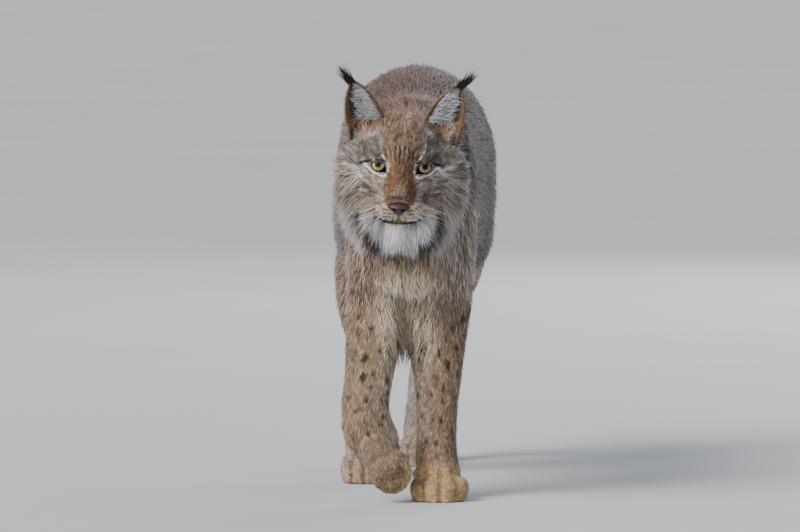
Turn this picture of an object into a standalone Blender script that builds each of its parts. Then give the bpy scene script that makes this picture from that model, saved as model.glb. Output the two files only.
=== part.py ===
"""Eurasian lynx, life size, in a slow walk with a low head and the right forepaw lifted.

The model stands on the floor at z = 0 and looks along -Y, with +X on its left side.
Every solid reaches out to the surface of the winter coat. The whole animal is first
modelled as one soft form, and thin planar cuts then part it into its named pieces.
"""

import math
import random
from collections import Counter

import bmesh
import bpy
from mathutils import Euler, Matrix, Vector
from mathutils.bvhtree import BVHTree

# Driving dimensions, in metres.
WITHERS_HEIGHT = 0.648
RUMP_HEIGHT = 0.690
HALF_TRUNK = 0.134
REAR_SWING = 0.010
PAW_WIDTH = 0.096
HIND_PAW_WIDTH = 0.078
EYE_SPACING = 0.069
EYE_DROP = 0.0058
EYE_RADIUS = 0.0150
EAR_WIDTH = 0.056
EAR_WALL = 0.0034
TUFT_LENGTH = 0.043
RUFF_LENGTH = 0.058
BEARD_LENGTH = 0.078
FRINGE_LENGTH = 0.050
CLEARANCE = 0.0003

# The head's own frame has its origin just above the eyeballs' axis, x to its left and y back.
HEAD_PLACE = Vector((-0.0150, -0.2580, 0.5465))
HEAD_TURN = Euler((math.radians(22.0), math.radians(3.0), math.radians(-1.2)), "XYZ")
HEAD = Matrix.LocRotScale(HEAD_PLACE, HEAD_TURN, None)

VOXEL = 0.004
SMOOTHING = 9
HEAD_TRIANGLES = 2100
BODY_TRIANGLES = 3400
BODY_SMOOTHING = 36
SIDES = {"r": -1.0, "l": 1.0}

COLOURS = {
    "coat": (0.27, 0.19, 0.14),
    "ear": (0.33, 0.24, 0.18),
    "nose": (0.13, 0.05, 0.045),
    "eye": (0.30, 0.26, 0.12),
}


# Shapes


def empty_scene():
    for old in list(bpy.data.objects):
        bpy.data.objects.remove(old)


def material(name, roughness=0.85):
    found = bpy.data.materials.get(name)
    if found:
        return found
    made = bpy.data.materials.new(name)
    made.use_nodes = True
    shader = made.node_tree.nodes["Principled BSDF"]
    shader.inputs["Base Color"].default_value = (*COLOURS[name], 1.0)
    shader.inputs["Roughness"].default_value = roughness
    return made


def object_of(name, bm, collection, hidden=False):
    """A new object from a bmesh, with its faces pointing out."""
    bmesh.ops.recalc_face_normals(bm, faces=bm.faces[:])
    mesh = bpy.data.meshes.new(name)
    bm.to_mesh(mesh)
    bm.free()
    made = bpy.data.objects.new(name, mesh)
    made.hide_render = hidden
    collection.objects.link(made)
    return made


def ellipsoid(bm, centre, radii, turn=None, frame=None, segments=28):
    """One soft mass. The turn is in degrees about X, Y and Z."""
    angles = Euler([math.radians(a) for a in turn or (0, 0, 0)], "XYZ")
    place = Matrix.LocRotScale(Vector(centre), angles, Vector(radii))
    bmesh.ops.create_uvsphere(
        bm,
        u_segments=segments,
        v_segments=segments // 2,
        radius=1.0,
        matrix=(frame or Matrix()) @ place,
    )


def catmull(values, t):
    """A smooth value at t, counted in stations, from rows of numbers."""
    i = min(int(t), len(values) - 2)
    f = t - i
    rows = [values[max(0, min(len(values) - 1, i + k))] for k in (-1, 0, 1, 2)]
    return [
        0.5
        * (
            2 * b
            + (c - a) * f
            + (2 * a - 5 * b + 4 * c - d) * f * f
            + (3 * b - a - 3 * c + d) * f**3
        )
        for a, b, c, d in zip(*rows)
    ]


def limb(bm, stations, sides=24, steps=3, frame=None):
    """A closed loft through elliptical rings that stand square to their path.

    A station is x, y, z, the half width across the body and the half depth."""
    count = (len(stations) - 1) * steps
    rows = [catmull(stations, k / steps) for k in range(count + 1)]
    points = [Vector(r[:3]) for r in rows]
    rings = []
    for k, row in enumerate(rows):
        along = (points[min(k + 1, count)] - points[max(k - 1, 0)]).normalized()
        across = (Vector((1, 0, 0)) - along * along.x).normalized()
        deep = along.cross(across)
        ring = []
        for s in range(sides):
            a = 2 * math.pi * s / sides
            spot = points[k] + across * (row[3] * math.cos(a)) + deep * (row[4] * math.sin(a))
            ring.append(bm.verts.new((frame @ spot) if frame else spot))
        rings.append(ring)
    for low, high in zip(rings, rings[1:]):
        for s in range(sides):
            n = (s + 1) % sides
            bm.faces.new((low[s], low[n], high[n], high[s]))
    bm.faces.new(rings[0][::-1])
    bm.faces.new(rings[-1])


def evaluated(obj):
    """Applies an object's modifiers to its own mesh."""
    graph = bpy.context.evaluated_depsgraph_get()
    graph.update()
    mesh = bpy.data.meshes.new_from_object(obj.evaluated_get(graph))
    old = obj.data
    obj.modifiers.clear()
    obj.data = mesh
    bpy.data.meshes.remove(old)
    return obj


def blend(obj, voxel=VOXEL, smoothing=SMOOTHING):
    """Fuses overlapping masses into one soft form."""
    fuse = obj.modifiers.new("fuse", "REMESH")
    fuse.mode = "VOXEL"
    fuse.voxel_size = voxel
    soften = obj.modifiers.new("soften", "SMOOTH")
    soften.factor = 0.5
    soften.iterations = smoothing
    return evaluated(obj)


def soften_trunk(obj):
    """Smooths the trunk and the upper limbs further, and leaves the head and paws crisp."""
    group = obj.vertex_groups.new(name="trunk")
    for v in obj.data.vertices:
        share = min((v.co.y + 0.165) / 0.04, (v.co.z - 0.13) / 0.05, 1.0)
        if share > 0:
            group.add([v.index], share, "REPLACE")
    soften = obj.modifiers.new("soften", "SMOOTH")
    soften.factor = 0.5
    soften.iterations = BODY_SMOOTHING
    soften.vertex_group = group.name
    evaluated(obj)
    obj.vertex_groups.clear()
    return obj


def is_closed(mesh):
    """Whether each edge has exactly two faces."""
    uses = Counter(key for p in mesh.polygons for key in p.edge_keys)
    return all(n == 2 for n in uses.values())


def thin_out(obj, triangles):
    """Leaves about this many triangles, a few more where a closed surface needs them."""
    now = sum(len(p.vertices) - 2 for p in obj.data.polygons)
    fine = obj.data
    for extra in range(12):
        obj.data = fine.copy()
        reduce = obj.modifiers.new("reduce", "DECIMATE")
        reduce.ratio = min(1.0, triangles * (1 + 0.03 * extra) / now)
        evaluated(obj)
        if is_closed(obj.data):
            break
    bpy.data.meshes.remove(fine)
    return obj


def combine(obj, other, operation, solver="MANIFOLD"):
    """One Boolean with another object, or with all objects of a collection."""
    join = obj.modifiers.new("join", "BOOLEAN")
    join.operation = operation
    join.solver = solver
    if isinstance(other, bpy.types.Collection):
        join.operand_type = "COLLECTION"
        join.collection = other
    else:
        join.object = other
    return evaluated(obj)


def keep_largest(obj):
    """Drops all but the largest closed surface, which also fills a sealed hollow."""
    bm = bmesh.new()
    bm.from_mesh(obj.data)
    seen, groups = set(), []
    for start in bm.faces:
        if start in seen:
            continue
        group, stack = [], [start]
        seen.add(start)
        while stack:
            face = stack.pop()
            group.append(face)
            for edge in face.edges:
                for near in edge.link_faces:
                    if near not in seen:
                        seen.add(near)
                        stack.append(near)
        groups.append(group)
    groups.sort(key=lambda g: sum(f.calc_area() for f in g))
    for group in groups[:-1]:
        bmesh.ops.delete(bm, geom=group, context="FACES")
    bm.to_mesh(obj.data)
    bm.free()
    return obj


def copy_of(obj, name):
    made = obj.copy()
    made.data = obj.data.copy()
    made.name = name
    made.hide_render = True
    cutters.objects.link(made)
    return made


def grown(obj, by=CLEARANCE * 0.7):
    """A hidden copy that stands out by the clearance, for cutting a neighbour clear."""
    made = copy_of(obj, obj.name + "_clear")
    swell = made.modifiers.new("swell", "DISPLACE")
    swell.strength = by
    swell.mid_level = 0.0
    return evaluated(made)


def remove(obj):
    bpy.data.objects.remove(obj)


def cut_clear(obj, *neighbours):
    """Cuts an object clear of its neighbours by the clearance.

    The second cut takes what the swollen copy misses at the sharp edges of a lock."""
    for neighbour in neighbours:
        tool = grown(neighbour)
        combine(obj, tool, "DIFFERENCE")
        remove(tool)
        combine(obj, neighbour, "DIFFERENCE")
    return keep_largest(obj)


def cell(planes, grow):
    """A convex block bounded by planes, each a point and the normal that points out of it."""
    bm = bmesh.new()
    bmesh.ops.create_cube(bm, size=4.0)
    for point, normal in planes:
        out = Vector(normal).normalized()
        cut = bmesh.ops.bisect_plane(
            bm,
            geom=bm.verts[:] + bm.edges[:] + bm.faces[:],
            plane_co=Vector(point) + out * grow,
            plane_no=out,
            clear_outer=True,
        )
        rim = [e for e in cut["geom_cut"] if isinstance(e, bmesh.types.BMEdge)]
        bmesh.ops.contextual_create(bm, geom=rim)
    return object_of("cell", bm, cutters, hidden=True)


def part_off(whole, name, planes):
    """Parts the piece inside these planes from the whole by a thin cut."""
    piece = copy_of(whole, name)
    inside = cell(planes, -CLEARANCE / 2)
    combine(piece, inside, "INTERSECT")
    keep_largest(piece)
    outside = cell(planes, CLEARANCE / 2)
    combine(whole, outside, "DIFFERENCE")
    keep_largest(whole)
    remove(inside)
    remove(outside)
    cutters.objects.unlink(piece)
    lynx.objects.link(piece)
    piece.hide_render = False
    return piece


# The soft form: trunk, neck, limbs and tail


# Distance behind the withers, share of the full half width, belly height and back height.
TRUNK = (
    (-0.150, 0.22, 0.425, 0.490),
    (-0.128, 0.46, 0.385, 0.530),
    (-0.090, 0.66, 0.342, 0.580),
    (-0.040, 0.77, 0.312, 0.628),
    (0.020, 0.82, 0.298, WITHERS_HEIGHT),
    (0.100, 0.87, 0.290, WITHERS_HEIGHT - 0.003),
    (0.200, 0.93, 0.286, WITHERS_HEIGHT - 0.012),
    (0.300, 0.98, 0.294, WITHERS_HEIGHT - 0.010),
    (0.400, 1.00, 0.314, WITHERS_HEIGHT + 0.003),
    (0.490, 0.98, 0.345, RUMP_HEIGHT - 0.013),
    (0.570, 0.92, 0.400, RUMP_HEIGHT),
    (0.640, 0.77, 0.460, RUMP_HEIGHT - 0.008),
    (0.700, 0.54, 0.515, RUMP_HEIGHT - 0.034),
    (0.732, 0.27, 0.555, RUMP_HEIGHT - 0.062),
)

# Stations of x, y, z, half width and half depth, from the trunk outwards.
NECK = (
    (0.000, 0.030, 0.545, 0.084, 0.092),
    (-0.002, -0.040, 0.546, 0.088, 0.086),
    (-0.006, -0.095, 0.544, 0.085, 0.084),
    (-0.010, -0.145, 0.546, 0.080, 0.078),
    (-0.014, -0.190, 0.548, 0.060, 0.060),
)
FORELEG_L = (
    (0.062, 0.020, 0.575, 0.030, 0.050),
    (0.067, -0.010, 0.520, 0.038, 0.070),
    (0.062, -0.030, 0.450, 0.046, 0.076),
    (0.053, -0.018, 0.385, 0.053, 0.070),
    (0.046, -0.004, 0.325, 0.057, 0.058),
    (0.041, -0.008, 0.258, 0.053, 0.047),
    (0.043, -0.015, 0.200, 0.043, 0.041),
    (0.042, -0.021, 0.152, 0.036, 0.036),
    (0.041, -0.026, 0.105, 0.034, 0.035),
    (0.041, -0.034, 0.065, 0.036, 0.037),
    (0.045, -0.044, 0.034, 0.038, 0.039),
    (0.045, -0.050, 0.016, 0.030, 0.027),
)
FORELEG_R = (
    (-0.056, 0.020, 0.575, 0.030, 0.050),
    (-0.062, -0.015, 0.520, 0.036, 0.070),
    (-0.062, -0.040, 0.450, 0.043, 0.076),
    (-0.059, -0.032, 0.385, 0.047, 0.072),
    (-0.058, -0.022, 0.325, 0.048, 0.062),
    (-0.060, -0.044, 0.260, 0.048, 0.051),
    (-0.067, -0.074, 0.202, 0.043, 0.042),
    (-0.072, -0.098, 0.152, 0.040, 0.037),
    (-0.064, -0.112, 0.119, 0.043, 0.036),
    (-0.055, -0.110, 0.092, 0.042, 0.032),
    (-0.047, -0.100, 0.068, 0.033, 0.024),
)
HINDLEG_R = (
    (-0.066, 0.585, 0.605, 0.040, 0.055),
    (-0.076, 0.550, 0.530, 0.046, 0.092),
    (-0.074, 0.488, 0.450, 0.043, 0.086),
    (-0.074, 0.436, 0.385, 0.041, 0.068),
    (-0.073, 0.426, 0.322, 0.038, 0.052),
    (-0.070, 0.440, 0.262, 0.031, 0.041),
    (-0.073, 0.452, 0.205, 0.028, 0.034),
    (-0.075, 0.428, 0.150, 0.027, 0.030),
    (-0.077, 0.388, 0.096, 0.029, 0.029),
    (-0.078, 0.350, 0.055, 0.033, 0.030),
    (-0.078, 0.318, 0.030, 0.030, 0.022),
)
HINDLEG_L = (
    (0.078, 0.590, 0.605, 0.040, 0.055),
    (0.090, 0.578, 0.530, 0.048, 0.092),
    (0.090, 0.556, 0.450, 0.046, 0.086),
    (0.085, 0.544, 0.385, 0.044, 0.070),
    (0.077, 0.566, 0.328, 0.042, 0.054),
    (0.058, 0.630, 0.280, 0.034, 0.042),
    (0.040, 0.702, 0.238, 0.030, 0.036),
    (0.029, 0.732, 0.192, 0.028, 0.033),
    (0.022, 0.722, 0.140, 0.027, 0.029),
    (0.019, 0.706, 0.092, 0.029, 0.028),
    (0.018, 0.690, 0.050, 0.033, 0.030),
    (0.018, 0.672, 0.026, 0.030, 0.022),
)
TAIL = (
    (0.000, 0.690, 0.612, 0.034, 0.036),
    (0.000, 0.738, 0.592, 0.031, 0.030),
    (0.000, 0.768, 0.552, 0.029, 0.028),
    (0.000, 0.778, 0.508, 0.028, 0.027),
    (0.000, 0.778, 0.468, 0.024, 0.024),
    (0.000, 0.776, 0.446, 0.012, 0.013),
)

# Each paw has its own frame: the heel at the origin, toes towards -y and the floor at z = 0.
# A row holds the heel's place, where the toes point, the width and the share of full length.
PAWS = {
    "forepaw_l": ((0.0452, -0.036, 0.0), (0.0, -1.0, 0.0), PAW_WIDTH, 1.0),
    "forepaw_r": ((-0.0530, -0.112, 0.092), (0.42, 0.30, -0.85), PAW_WIDTH * 0.83, 0.92),
    "hindpaw_r": ((-0.0780, 0.315, 0.0), (0.02, -1.0, 0.0), HIND_PAW_WIDTH, 1.06),
    "hindpaw_l": ((0.0180, 0.665, 0.0), (-0.02, -1.0, 0.0), HIND_PAW_WIDTH, 1.06),
}
PAW_LENGTH = 0.066
TOE_SPREAD = (-0.36, -0.13, 0.13, 0.36)
TOE_REACH = (0.62, 0.80, 0.80, 0.62)


def paw_frame(name):
    place, toes, _, _ = PAWS[name]
    back = -Vector(toes).normalized()
    guide = Vector((0, 0, 1)) if abs(back.z) < 0.5 else Vector((0, -1, 0))
    top = (guide - back * guide.dot(back)).normalized()
    across = back.cross(top)
    turn = Matrix((across, back, top)).transposed()
    return Matrix.Translation(place) @ turn.to_4x4()


def paw(bm, name):
    """The palm, four toes and the large pad under them."""
    _, _, width, long = PAWS[name]
    frame = paw_frame(name)
    lifted = name == "forepaw_r"
    low = 0.018 if lifted else 0.014
    ellipsoid(bm, (0, 0.000, 0.027), (width * 0.42, 0.040 * long, 0.029), frame=frame)
    ellipsoid(bm, (0, -0.026, 0.024), (width * 0.44, 0.034 * long, 0.026), frame=frame)
    for side, reach in zip(TOE_SPREAD, TOE_REACH):
        spread = side * width * (0.80 if lifted else 1.0)
        tip = -PAW_LENGTH * long * reach
        ellipsoid(
            bm, (spread, tip, low + 0.005), (width * 0.150, 0.023, 0.020), (12, 0, -side * 20), frame
        )
    ellipsoid(bm, (0, -0.012, low), (width * 0.36, 0.034, 0.018), frame=frame)


def rear_shift(y):
    """The hindquarters swing a little to the animal's left as it walks."""
    return REAR_SWING * min(1.0, max(0.0, y / 0.4))


def trunk(bm):
    stations = [
        (rear_shift(y), y, (low + high) / 2, share * HALF_TRUNK, (high - low) / 2)
        for y, share, low, high in TRUNK
    ]
    limb(bm, stations, sides=36)
    for side in SIDES.values():
        # Shoulder blade, point of the shoulder, thigh, the soft flank between them and buttock.
        ellipsoid(bm, (side * 0.044, 0.024, 0.552), (0.048, 0.088, 0.086), (-14, side * 14, 0))
        ellipsoid(bm, (side * 0.064, -0.045, 0.462), (0.042, 0.066, 0.092), (14, 0, 0))
        rear = REAR_SWING
        ellipsoid(bm, (side * 0.084 + rear, 0.545, 0.510), (0.050, 0.108, 0.108), (-20, 0, 0))
        ellipsoid(bm, (side * 0.073 + 0.005, 0.300, 0.436), (0.062, 0.190, 0.114), (3, 0, 0))
        ellipsoid(bm, (side * 0.044 + rear, 0.655, 0.560), (0.052, 0.060, 0.078), (-12, 0, 0))
    # The breast, and the loose fold of coat between the flank and each knee.
    ellipsoid(bm, (0, -0.080, 0.430), (0.074, 0.066, 0.102), (-16, 0, 0))
    ellipsoid(bm, (-0.085, 0.420, 0.328), (0.043, 0.104, 0.116), (-20, 0, 0))
    ellipsoid(bm, (0.084, 0.470, 0.390), (0.034, 0.086, 0.064), (-38, 0, 0))


LID_DEPTH = 0.0030


def head_masses(bm):
    """The skull, muzzle, jaw and cheeks, in the head's own frame."""

    def mass(centre, radii, turn=None):
        ellipsoid(bm, centre, radii, turn, HEAD)

    mass((0, 0.060, 0.003), (0.067, 0.080, 0.053))
    mass((0, 0.022, 0.017), (0.046, 0.042, 0.033), (-16, 0, 0))
    mass((0, -0.044, -0.049), (0.038, 0.037, 0.027))
    mass((0, -0.048, -0.077), (0.021, 0.023, 0.014))
    mass((0, 0.012, -0.062), (0.052, 0.060, 0.036))
    bridge = (
        (0.0, 0.020, 0.026, 0.028, 0.022),
        (0.0, -0.008, 0.014, 0.022, 0.020),
        (0.0, -0.032, -0.004, 0.021, 0.019),
        (0.0, -0.054, -0.021, 0.021, 0.017),
        (0.0, -0.068, -0.032, 0.017, 0.013),
    )
    limb(bm, bridge, sides=20, frame=HEAD)
    for side in SIDES.values():
        mass((side * 0.0180, -0.055, -0.052), (0.0240, 0.023, 0.0195), (0, side * -6, side * 14))
        mass((side * 0.0250, -0.030, -0.070), (0.025, 0.031, 0.021), (0, side * -8, side * 10))
        mass((side * 0.0230, -0.022, -0.022), (0.022, 0.030, 0.022), (-30, 0, 0))
        mass((side * 0.0300, 0.006, 0.018), (0.023, 0.017, 0.013), (0, side * -10, side * -12))
        mass((side * 0.0440, 0.003, -0.028), (0.028, 0.026, 0.022), (0, 0, side * -20))
        mass((side * 0.0550, 0.042, -0.036), (0.051, 0.054, 0.055), (0, side * -4, 0))
        mass((side * 0.0500, 0.056, -0.076), (0.038, 0.046, 0.038), (0, side * -24, 0))
        mass((side * 0.0600, 0.080, 0.012), (0.029, 0.028, 0.028))
        mass((side * EYE_SPACING / 2, 0, -EYE_DROP), (EYE_RADIUS + LID_DEPTH,) * 3)


def lynx_form():
    """The whole animal as one soft form, out to the surface of its coat."""
    bm = bmesh.new()
    trunk(bm)
    for stations in (NECK, FORELEG_L, FORELEG_R, HINDLEG_R, HINDLEG_L, TAIL):
        limb(bm, stations)
    for name in PAWS:
        paw(bm, name)
    head_masses(bm)
    return soften_trunk(blend(object_of("form", bm, cutters, hidden=True)))


# The head's openings, nose and eyes


NOSE_CENTRE = (0.0, -0.0758, -0.0400)
NOSE_RADII = (0.0172, 0.0108, 0.0070)
LID_OPENING = (0.0172, 0.0130, 0.0090)
MOUTH_HALF = 0.036
MOUTH_LOW = -0.0672
MOUTH_RISE = 0.0010
LIP_GROOVE = 0.0013


def eye_centre(side):
    return Vector((side * EYE_SPACING / 2, 0.0, -EYE_DROP))


def open_eye(head, side):
    """Carves the socket and the almond between the lids, and returns the eyeball."""
    bm = bmesh.new()
    ellipsoid(bm, eye_centre(side), (EYE_RADIUS + CLEARANCE,) * 3, (90, 0, 0), HEAD, segments=16)
    socket = object_of("socket", bm, cutters, hidden=True)
    bm = bmesh.new()
    ahead = eye_centre(side) + Vector((side * 0.0012, -0.0165, -0.0006))
    ellipsoid(bm, ahead, LID_OPENING, (0, side * -22, side * 10), HEAD, segments=12)
    almond = object_of("almond", bm, cutters, hidden=True)
    combine(socket, almond, "UNION")
    combine(head, socket, "DIFFERENCE")
    remove(socket)
    remove(almond)
    bm = bmesh.new()
    ellipsoid(bm, eye_centre(side), (EYE_RADIUS,) * 3, (90, 0, 0), HEAD, segments=16)
    return bm


def nose_solid():
    """The bare nose pad, broad above and narrow below, with its nostrils."""
    x, y, z = NOSE_RADII
    low = Vector(NOSE_CENTRE) + Vector((0, 0.0004, -0.0060))
    bm = bmesh.new()
    ellipsoid(bm, NOSE_CENTRE, NOSE_RADII, frame=HEAD, segments=20)
    ellipsoid(bm, low, (x * 0.55, y * 0.94, z * 0.95), frame=HEAD, segments=16)
    nose = blend(object_of("nose", bm, lynx), voxel=0.0012, smoothing=3)
    thin_out(nose, 280)
    bm = bmesh.new()
    for side in SIDES.values():
        ellipsoid(
            bm,
            Vector(NOSE_CENTRE) + Vector((side * 0.0084, -0.0095, -0.0028)),
            (0.0038, 0.0052, 0.0026),
            (0, side * 35, side * 25),
            HEAD,
            segments=8,
        )
    nostrils = object_of("nostrils", bm, cutters, hidden=True)
    combine(nose, nostrils, "DIFFERENCE")
    remove(nostrils)
    return nose


def surface_of(obj):
    bm = bmesh.new()
    bm.from_mesh(obj.data)
    tree = BVHTree.FromBMesh(bm)
    bm.free()
    return tree


def cut_mouth(head):
    """The line of the lips, a groove that follows the muzzle from corner to corner."""
    tree = surface_of(head)
    into = HEAD.to_3x3() @ Vector((0, 1, 0))
    line = bpy.data.curves.new("mouth", "CURVE")
    line.dimensions = "3D"
    line.bevel_depth = LIP_GROOVE
    line.bevel_resolution = 1
    line.use_fill_caps = True
    count = 11
    spline = line.splines.new("POLY")
    spline.points.add(count - 1)
    for k in range(count):
        share = 2 * k / (count - 1) - 1
        height = MOUTH_LOW + MOUTH_RISE * share * share
        start = HEAD @ Vector((MOUTH_HALF * share, -0.2, height))
        spot, _, _, _ = tree.ray_cast(start, into)
        spline.points[k].co = (*spot, 1.0)
    curve = bpy.data.objects.new("mouth_line", line)
    cutters.objects.link(curve)
    graph = bpy.context.evaluated_depsgraph_get()
    mesh = bpy.data.meshes.new_from_object(curve.evaluated_get(graph))
    remove(curve)
    bm = bmesh.new()
    bm.from_mesh(mesh)
    bmesh.ops.remove_doubles(bm, verts=bm.verts[:], dist=1e-5)
    groove = object_of("groove", bm, cutters, hidden=True)
    combine(head, groove, "DIFFERENCE")
    remove(groove)


# Ears


# Places in the head's frame for the animal's left ear, mirrored for the right one.
EAR_BASE = Vector((0.0600, 0.066, 0.036))
EAR_TIP = Vector((0.0830, 0.052, 0.112))
EAR_ROWS = 6
EAR_COLUMNS = 7
EAR_ROOT = 0.034


EAR_AXIS = EAR_TIP - EAR_BASE
EAR_RISE = EAR_AXIS.normalized()
EAR_OUT = Vector((0.93, -0.16, -0.28))
EAR_OUT = (EAR_OUT - EAR_RISE * EAR_OUT.dot(EAR_RISE)).normalized()
EAR_BACK = EAR_RISE.cross(EAR_OUT)
EAR_BOW = math.radians(72)
EAR_DEPTH = 0.021


def ear_point(side, across, up):
    """A point of the ear's cup: across runs from the inner edge at -1 to the outer at 1."""
    half = EAR_WIDTH / 2 * (1.0 - up**1.9) ** 0.75 + 0.0012
    depth = EAR_DEPTH * (1.0 - up) ** 0.8 + 0.002
    angle = across * EAR_BOW
    spot = EAR_BASE + EAR_AXIS * up
    spot += EAR_OUT * (half * math.sin(angle) / math.sin(EAR_BOW))
    spot += EAR_BACK * (depth * (math.cos(angle) - math.cos(EAR_BOW)))
    return HEAD @ Vector((side * spot.x, spot.y, spot.z))


def ear_solid(name, side):
    """A thin cup that opens forwards, with a root that sits on the head."""
    bm = bmesh.new()
    sink = HEAD.to_3x3() @ Vector((-side * 0.2, 0.1, -1.0)).normalized() * EAR_ROOT
    rows = []
    for r in range(-1, EAR_ROWS + 1):
        up = 0.97 * max(r, 0) / EAR_ROWS
        spots = [ear_point(side, 2 * c / EAR_COLUMNS - 1, up) for c in range(EAR_COLUMNS + 1)]
        rows.append([bm.verts.new(spot + sink if r < 0 else spot) for spot in spots])
    for low, high in zip(rows, rows[1:]):
        for c in range(EAR_COLUMNS):
            bm.faces.new((low[c], low[c + 1], high[c + 1], high[c]))
    ear = object_of(name, bm, lynx)
    wall = ear.modifiers.new("wall", "SOLIDIFY")
    wall.thickness = EAR_WALL
    wall.offset = 0.0
    evaluated(ear)
    return ear


# Locks of long coat


def lock(bm, root, along, up, length, width, thick, droop, sink=0.006):
    """A flat, tapered lock that leaves the coat at its root and bends over."""
    along, up = along.normalized(), up.normalized()
    across = along.cross(up).normalized()
    up = across.cross(along)
    shares = ((-sink / length, 0.80), (0.36, 1.0), (0.72, 0.62))
    rings = []
    for t, wide in shares:
        spot = root + along * (length * t) + droop * (max(t, 0.0) ** 2 * length)
        w, h = across * (width * wide / 2), up * (thick * wide / 2)
        rings.append([bm.verts.new(spot + s) for s in (w, h, -w, -h)])
    tip = bm.verts.new(root + along * length + droop * length)
    for low, high in zip(rings, rings[1:]):
        for s in range(4):
            n = (s + 1) % 4
            bm.faces.new((low[s], low[n], high[n], high[s]))
    for s in range(4):
        bm.faces.new((rings[-1][s], rings[-1][(s + 1) % 4], tip))
    bm.faces.new(rings[0][::-1])


def grow_locks(node, plan):
    """Joins locks to a node. The plan yields the arguments of one lock after another."""
    group = bpy.data.collections.new("locks")
    bpy.context.scene.collection.children.link(group)
    for arguments in plan:
        bm = bmesh.new()
        lock(bm, *arguments)
        object_of("lock", bm, group, hidden=True)
    if len(group.objects):
        combine(node, group, "UNION")
    for made in list(group.objects):
        remove(made)
    bpy.data.collections.remove(group)
    return keep_largest(node)


def ear_tuft_plan(side):
    """The black brush at the tip of an ear, fanned out a little."""
    draw = random.Random(11 if side > 0 else 12)
    tip = ear_point(side, 0.0, 0.95)
    rise = HEAD.to_3x3() @ Vector((side * 0.42, 0.10, 0.90)).normalized()
    face = HEAD.to_3x3() @ Vector((0, -1, 0))
    for k in range(6):
        lean = (k / 5 - 0.5) * 0.60
        along = rise + HEAD.to_3x3() @ Vector((side * lean, draw.uniform(-0.10, 0.10), 0))
        length = TUFT_LENGTH * draw.uniform(0.72, 1.0)
        droop = HEAD.to_3x3() @ Vector((side * 0.16, draw.uniform(-0.05, 0.12), -0.05))
        yield tip, along, face, length, 0.0048, 0.0036, droop, 0.004


def on_surface(tree, start, towards, flow, lift):
    """Where a ray meets the coat, and the way a lock leaves it there."""
    spot, normal, _, _ = tree.ray_cast(start, towards.normalized())
    if spot is None:
        return None
    along = (flow - normal * flow.dot(normal)).normalized()
    angle = math.radians(lift)
    return spot, along * math.cos(angle) + normal * math.sin(angle), normal


# Rows of the ruff: distance behind the eyes, length share, first and last angle, locks.
RUFF_ROWS = (
    (0.020, 0.72, -18, -60, 5),
    (0.046, 0.95, -6, -66, 6),
    (0.074, 1.10, 4, -70, 8),
)
BEARD_ROWS = ((-0.024, 0.78, 0.020, 3), (0.000, 1.00, 0.036, 5), (0.027, 1.05, 0.046, 5))


def ruff_plan(head):
    """The ruff down both cheeks, and the beard under the jaw."""
    tree = surface_of(head)
    draw = random.Random(21)
    turn = HEAD.to_3x3()
    middle = -0.034
    for side in SIDES.values():
        for y, share, first, last, count in RUFF_ROWS:
            for k in range(count):
                angle = math.radians(first + (last - first) * (k + draw.uniform(-0.2, 0.2)) / (count - 1))
                out = Vector((side * math.cos(angle), 0, math.sin(angle)))
                down = Vector((side * math.sin(angle), 0, -math.cos(angle)))
                start = HEAD @ (Vector((0, y + draw.uniform(-0.004, 0.004), middle)) + out * 0.3)
                flow = turn @ (down * 0.9 + Vector((0, 0.42, 0)))
                found = on_surface(tree, start, turn @ -out, flow, 15)
                if found:
                    spot, along, up = found
                    length = RUFF_LENGTH * share * draw.uniform(0.85, 1.1)
                    droop = turn @ Vector((0, 0, -0.20)) - up * 0.10
                    yield spot, along, up, length, 0.0195, 0.0070, droop, 0.006
    for y, share, half, count in BEARD_ROWS:
        for k in range(count):
            x = half * (2 * k / (count - 1) - 1) + draw.uniform(-0.002, 0.002)
            start = HEAD @ Vector((x, y, -0.3))
            spot, _, _, _ = tree.ray_cast(start, turn @ Vector((0, 0, 1)))
            if spot:
                along = turn @ Vector((x * 5.0, 0.10 - y * 6.0, -1.0))
                up = turn @ Vector((0, -1, 0))
                length = BEARD_LENGTH * share * draw.uniform(0.85, 1.05)
                droop = turn @ Vector((0, 0.16, 0.0))
                yield spot, along, up, length, 0.0185, 0.0070, droop, 0.008


def fringe_plan(node, starts, towards, flow, lift, share, seed):
    """Locks of long coat where rays from these starts meet a node."""
    tree = surface_of(node)
    draw = random.Random(seed)
    for start in starts:
        jitter = Vector([draw.uniform(-0.004, 0.004) for _ in range(3)])
        found = on_surface(tree, Vector(start) + jitter, Vector(towards), Vector(flow), lift)
        if found:
            spot, along, up = found
            length = FRINGE_LENGTH * share * draw.uniform(0.8, 1.15)
            yield spot, along, up, length, 0.0170, 0.0066, up * -0.14, 0.006


def span(first, last, count):
    return [first + (last - first) * k / (count - 1) for k in range(count)]


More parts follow.
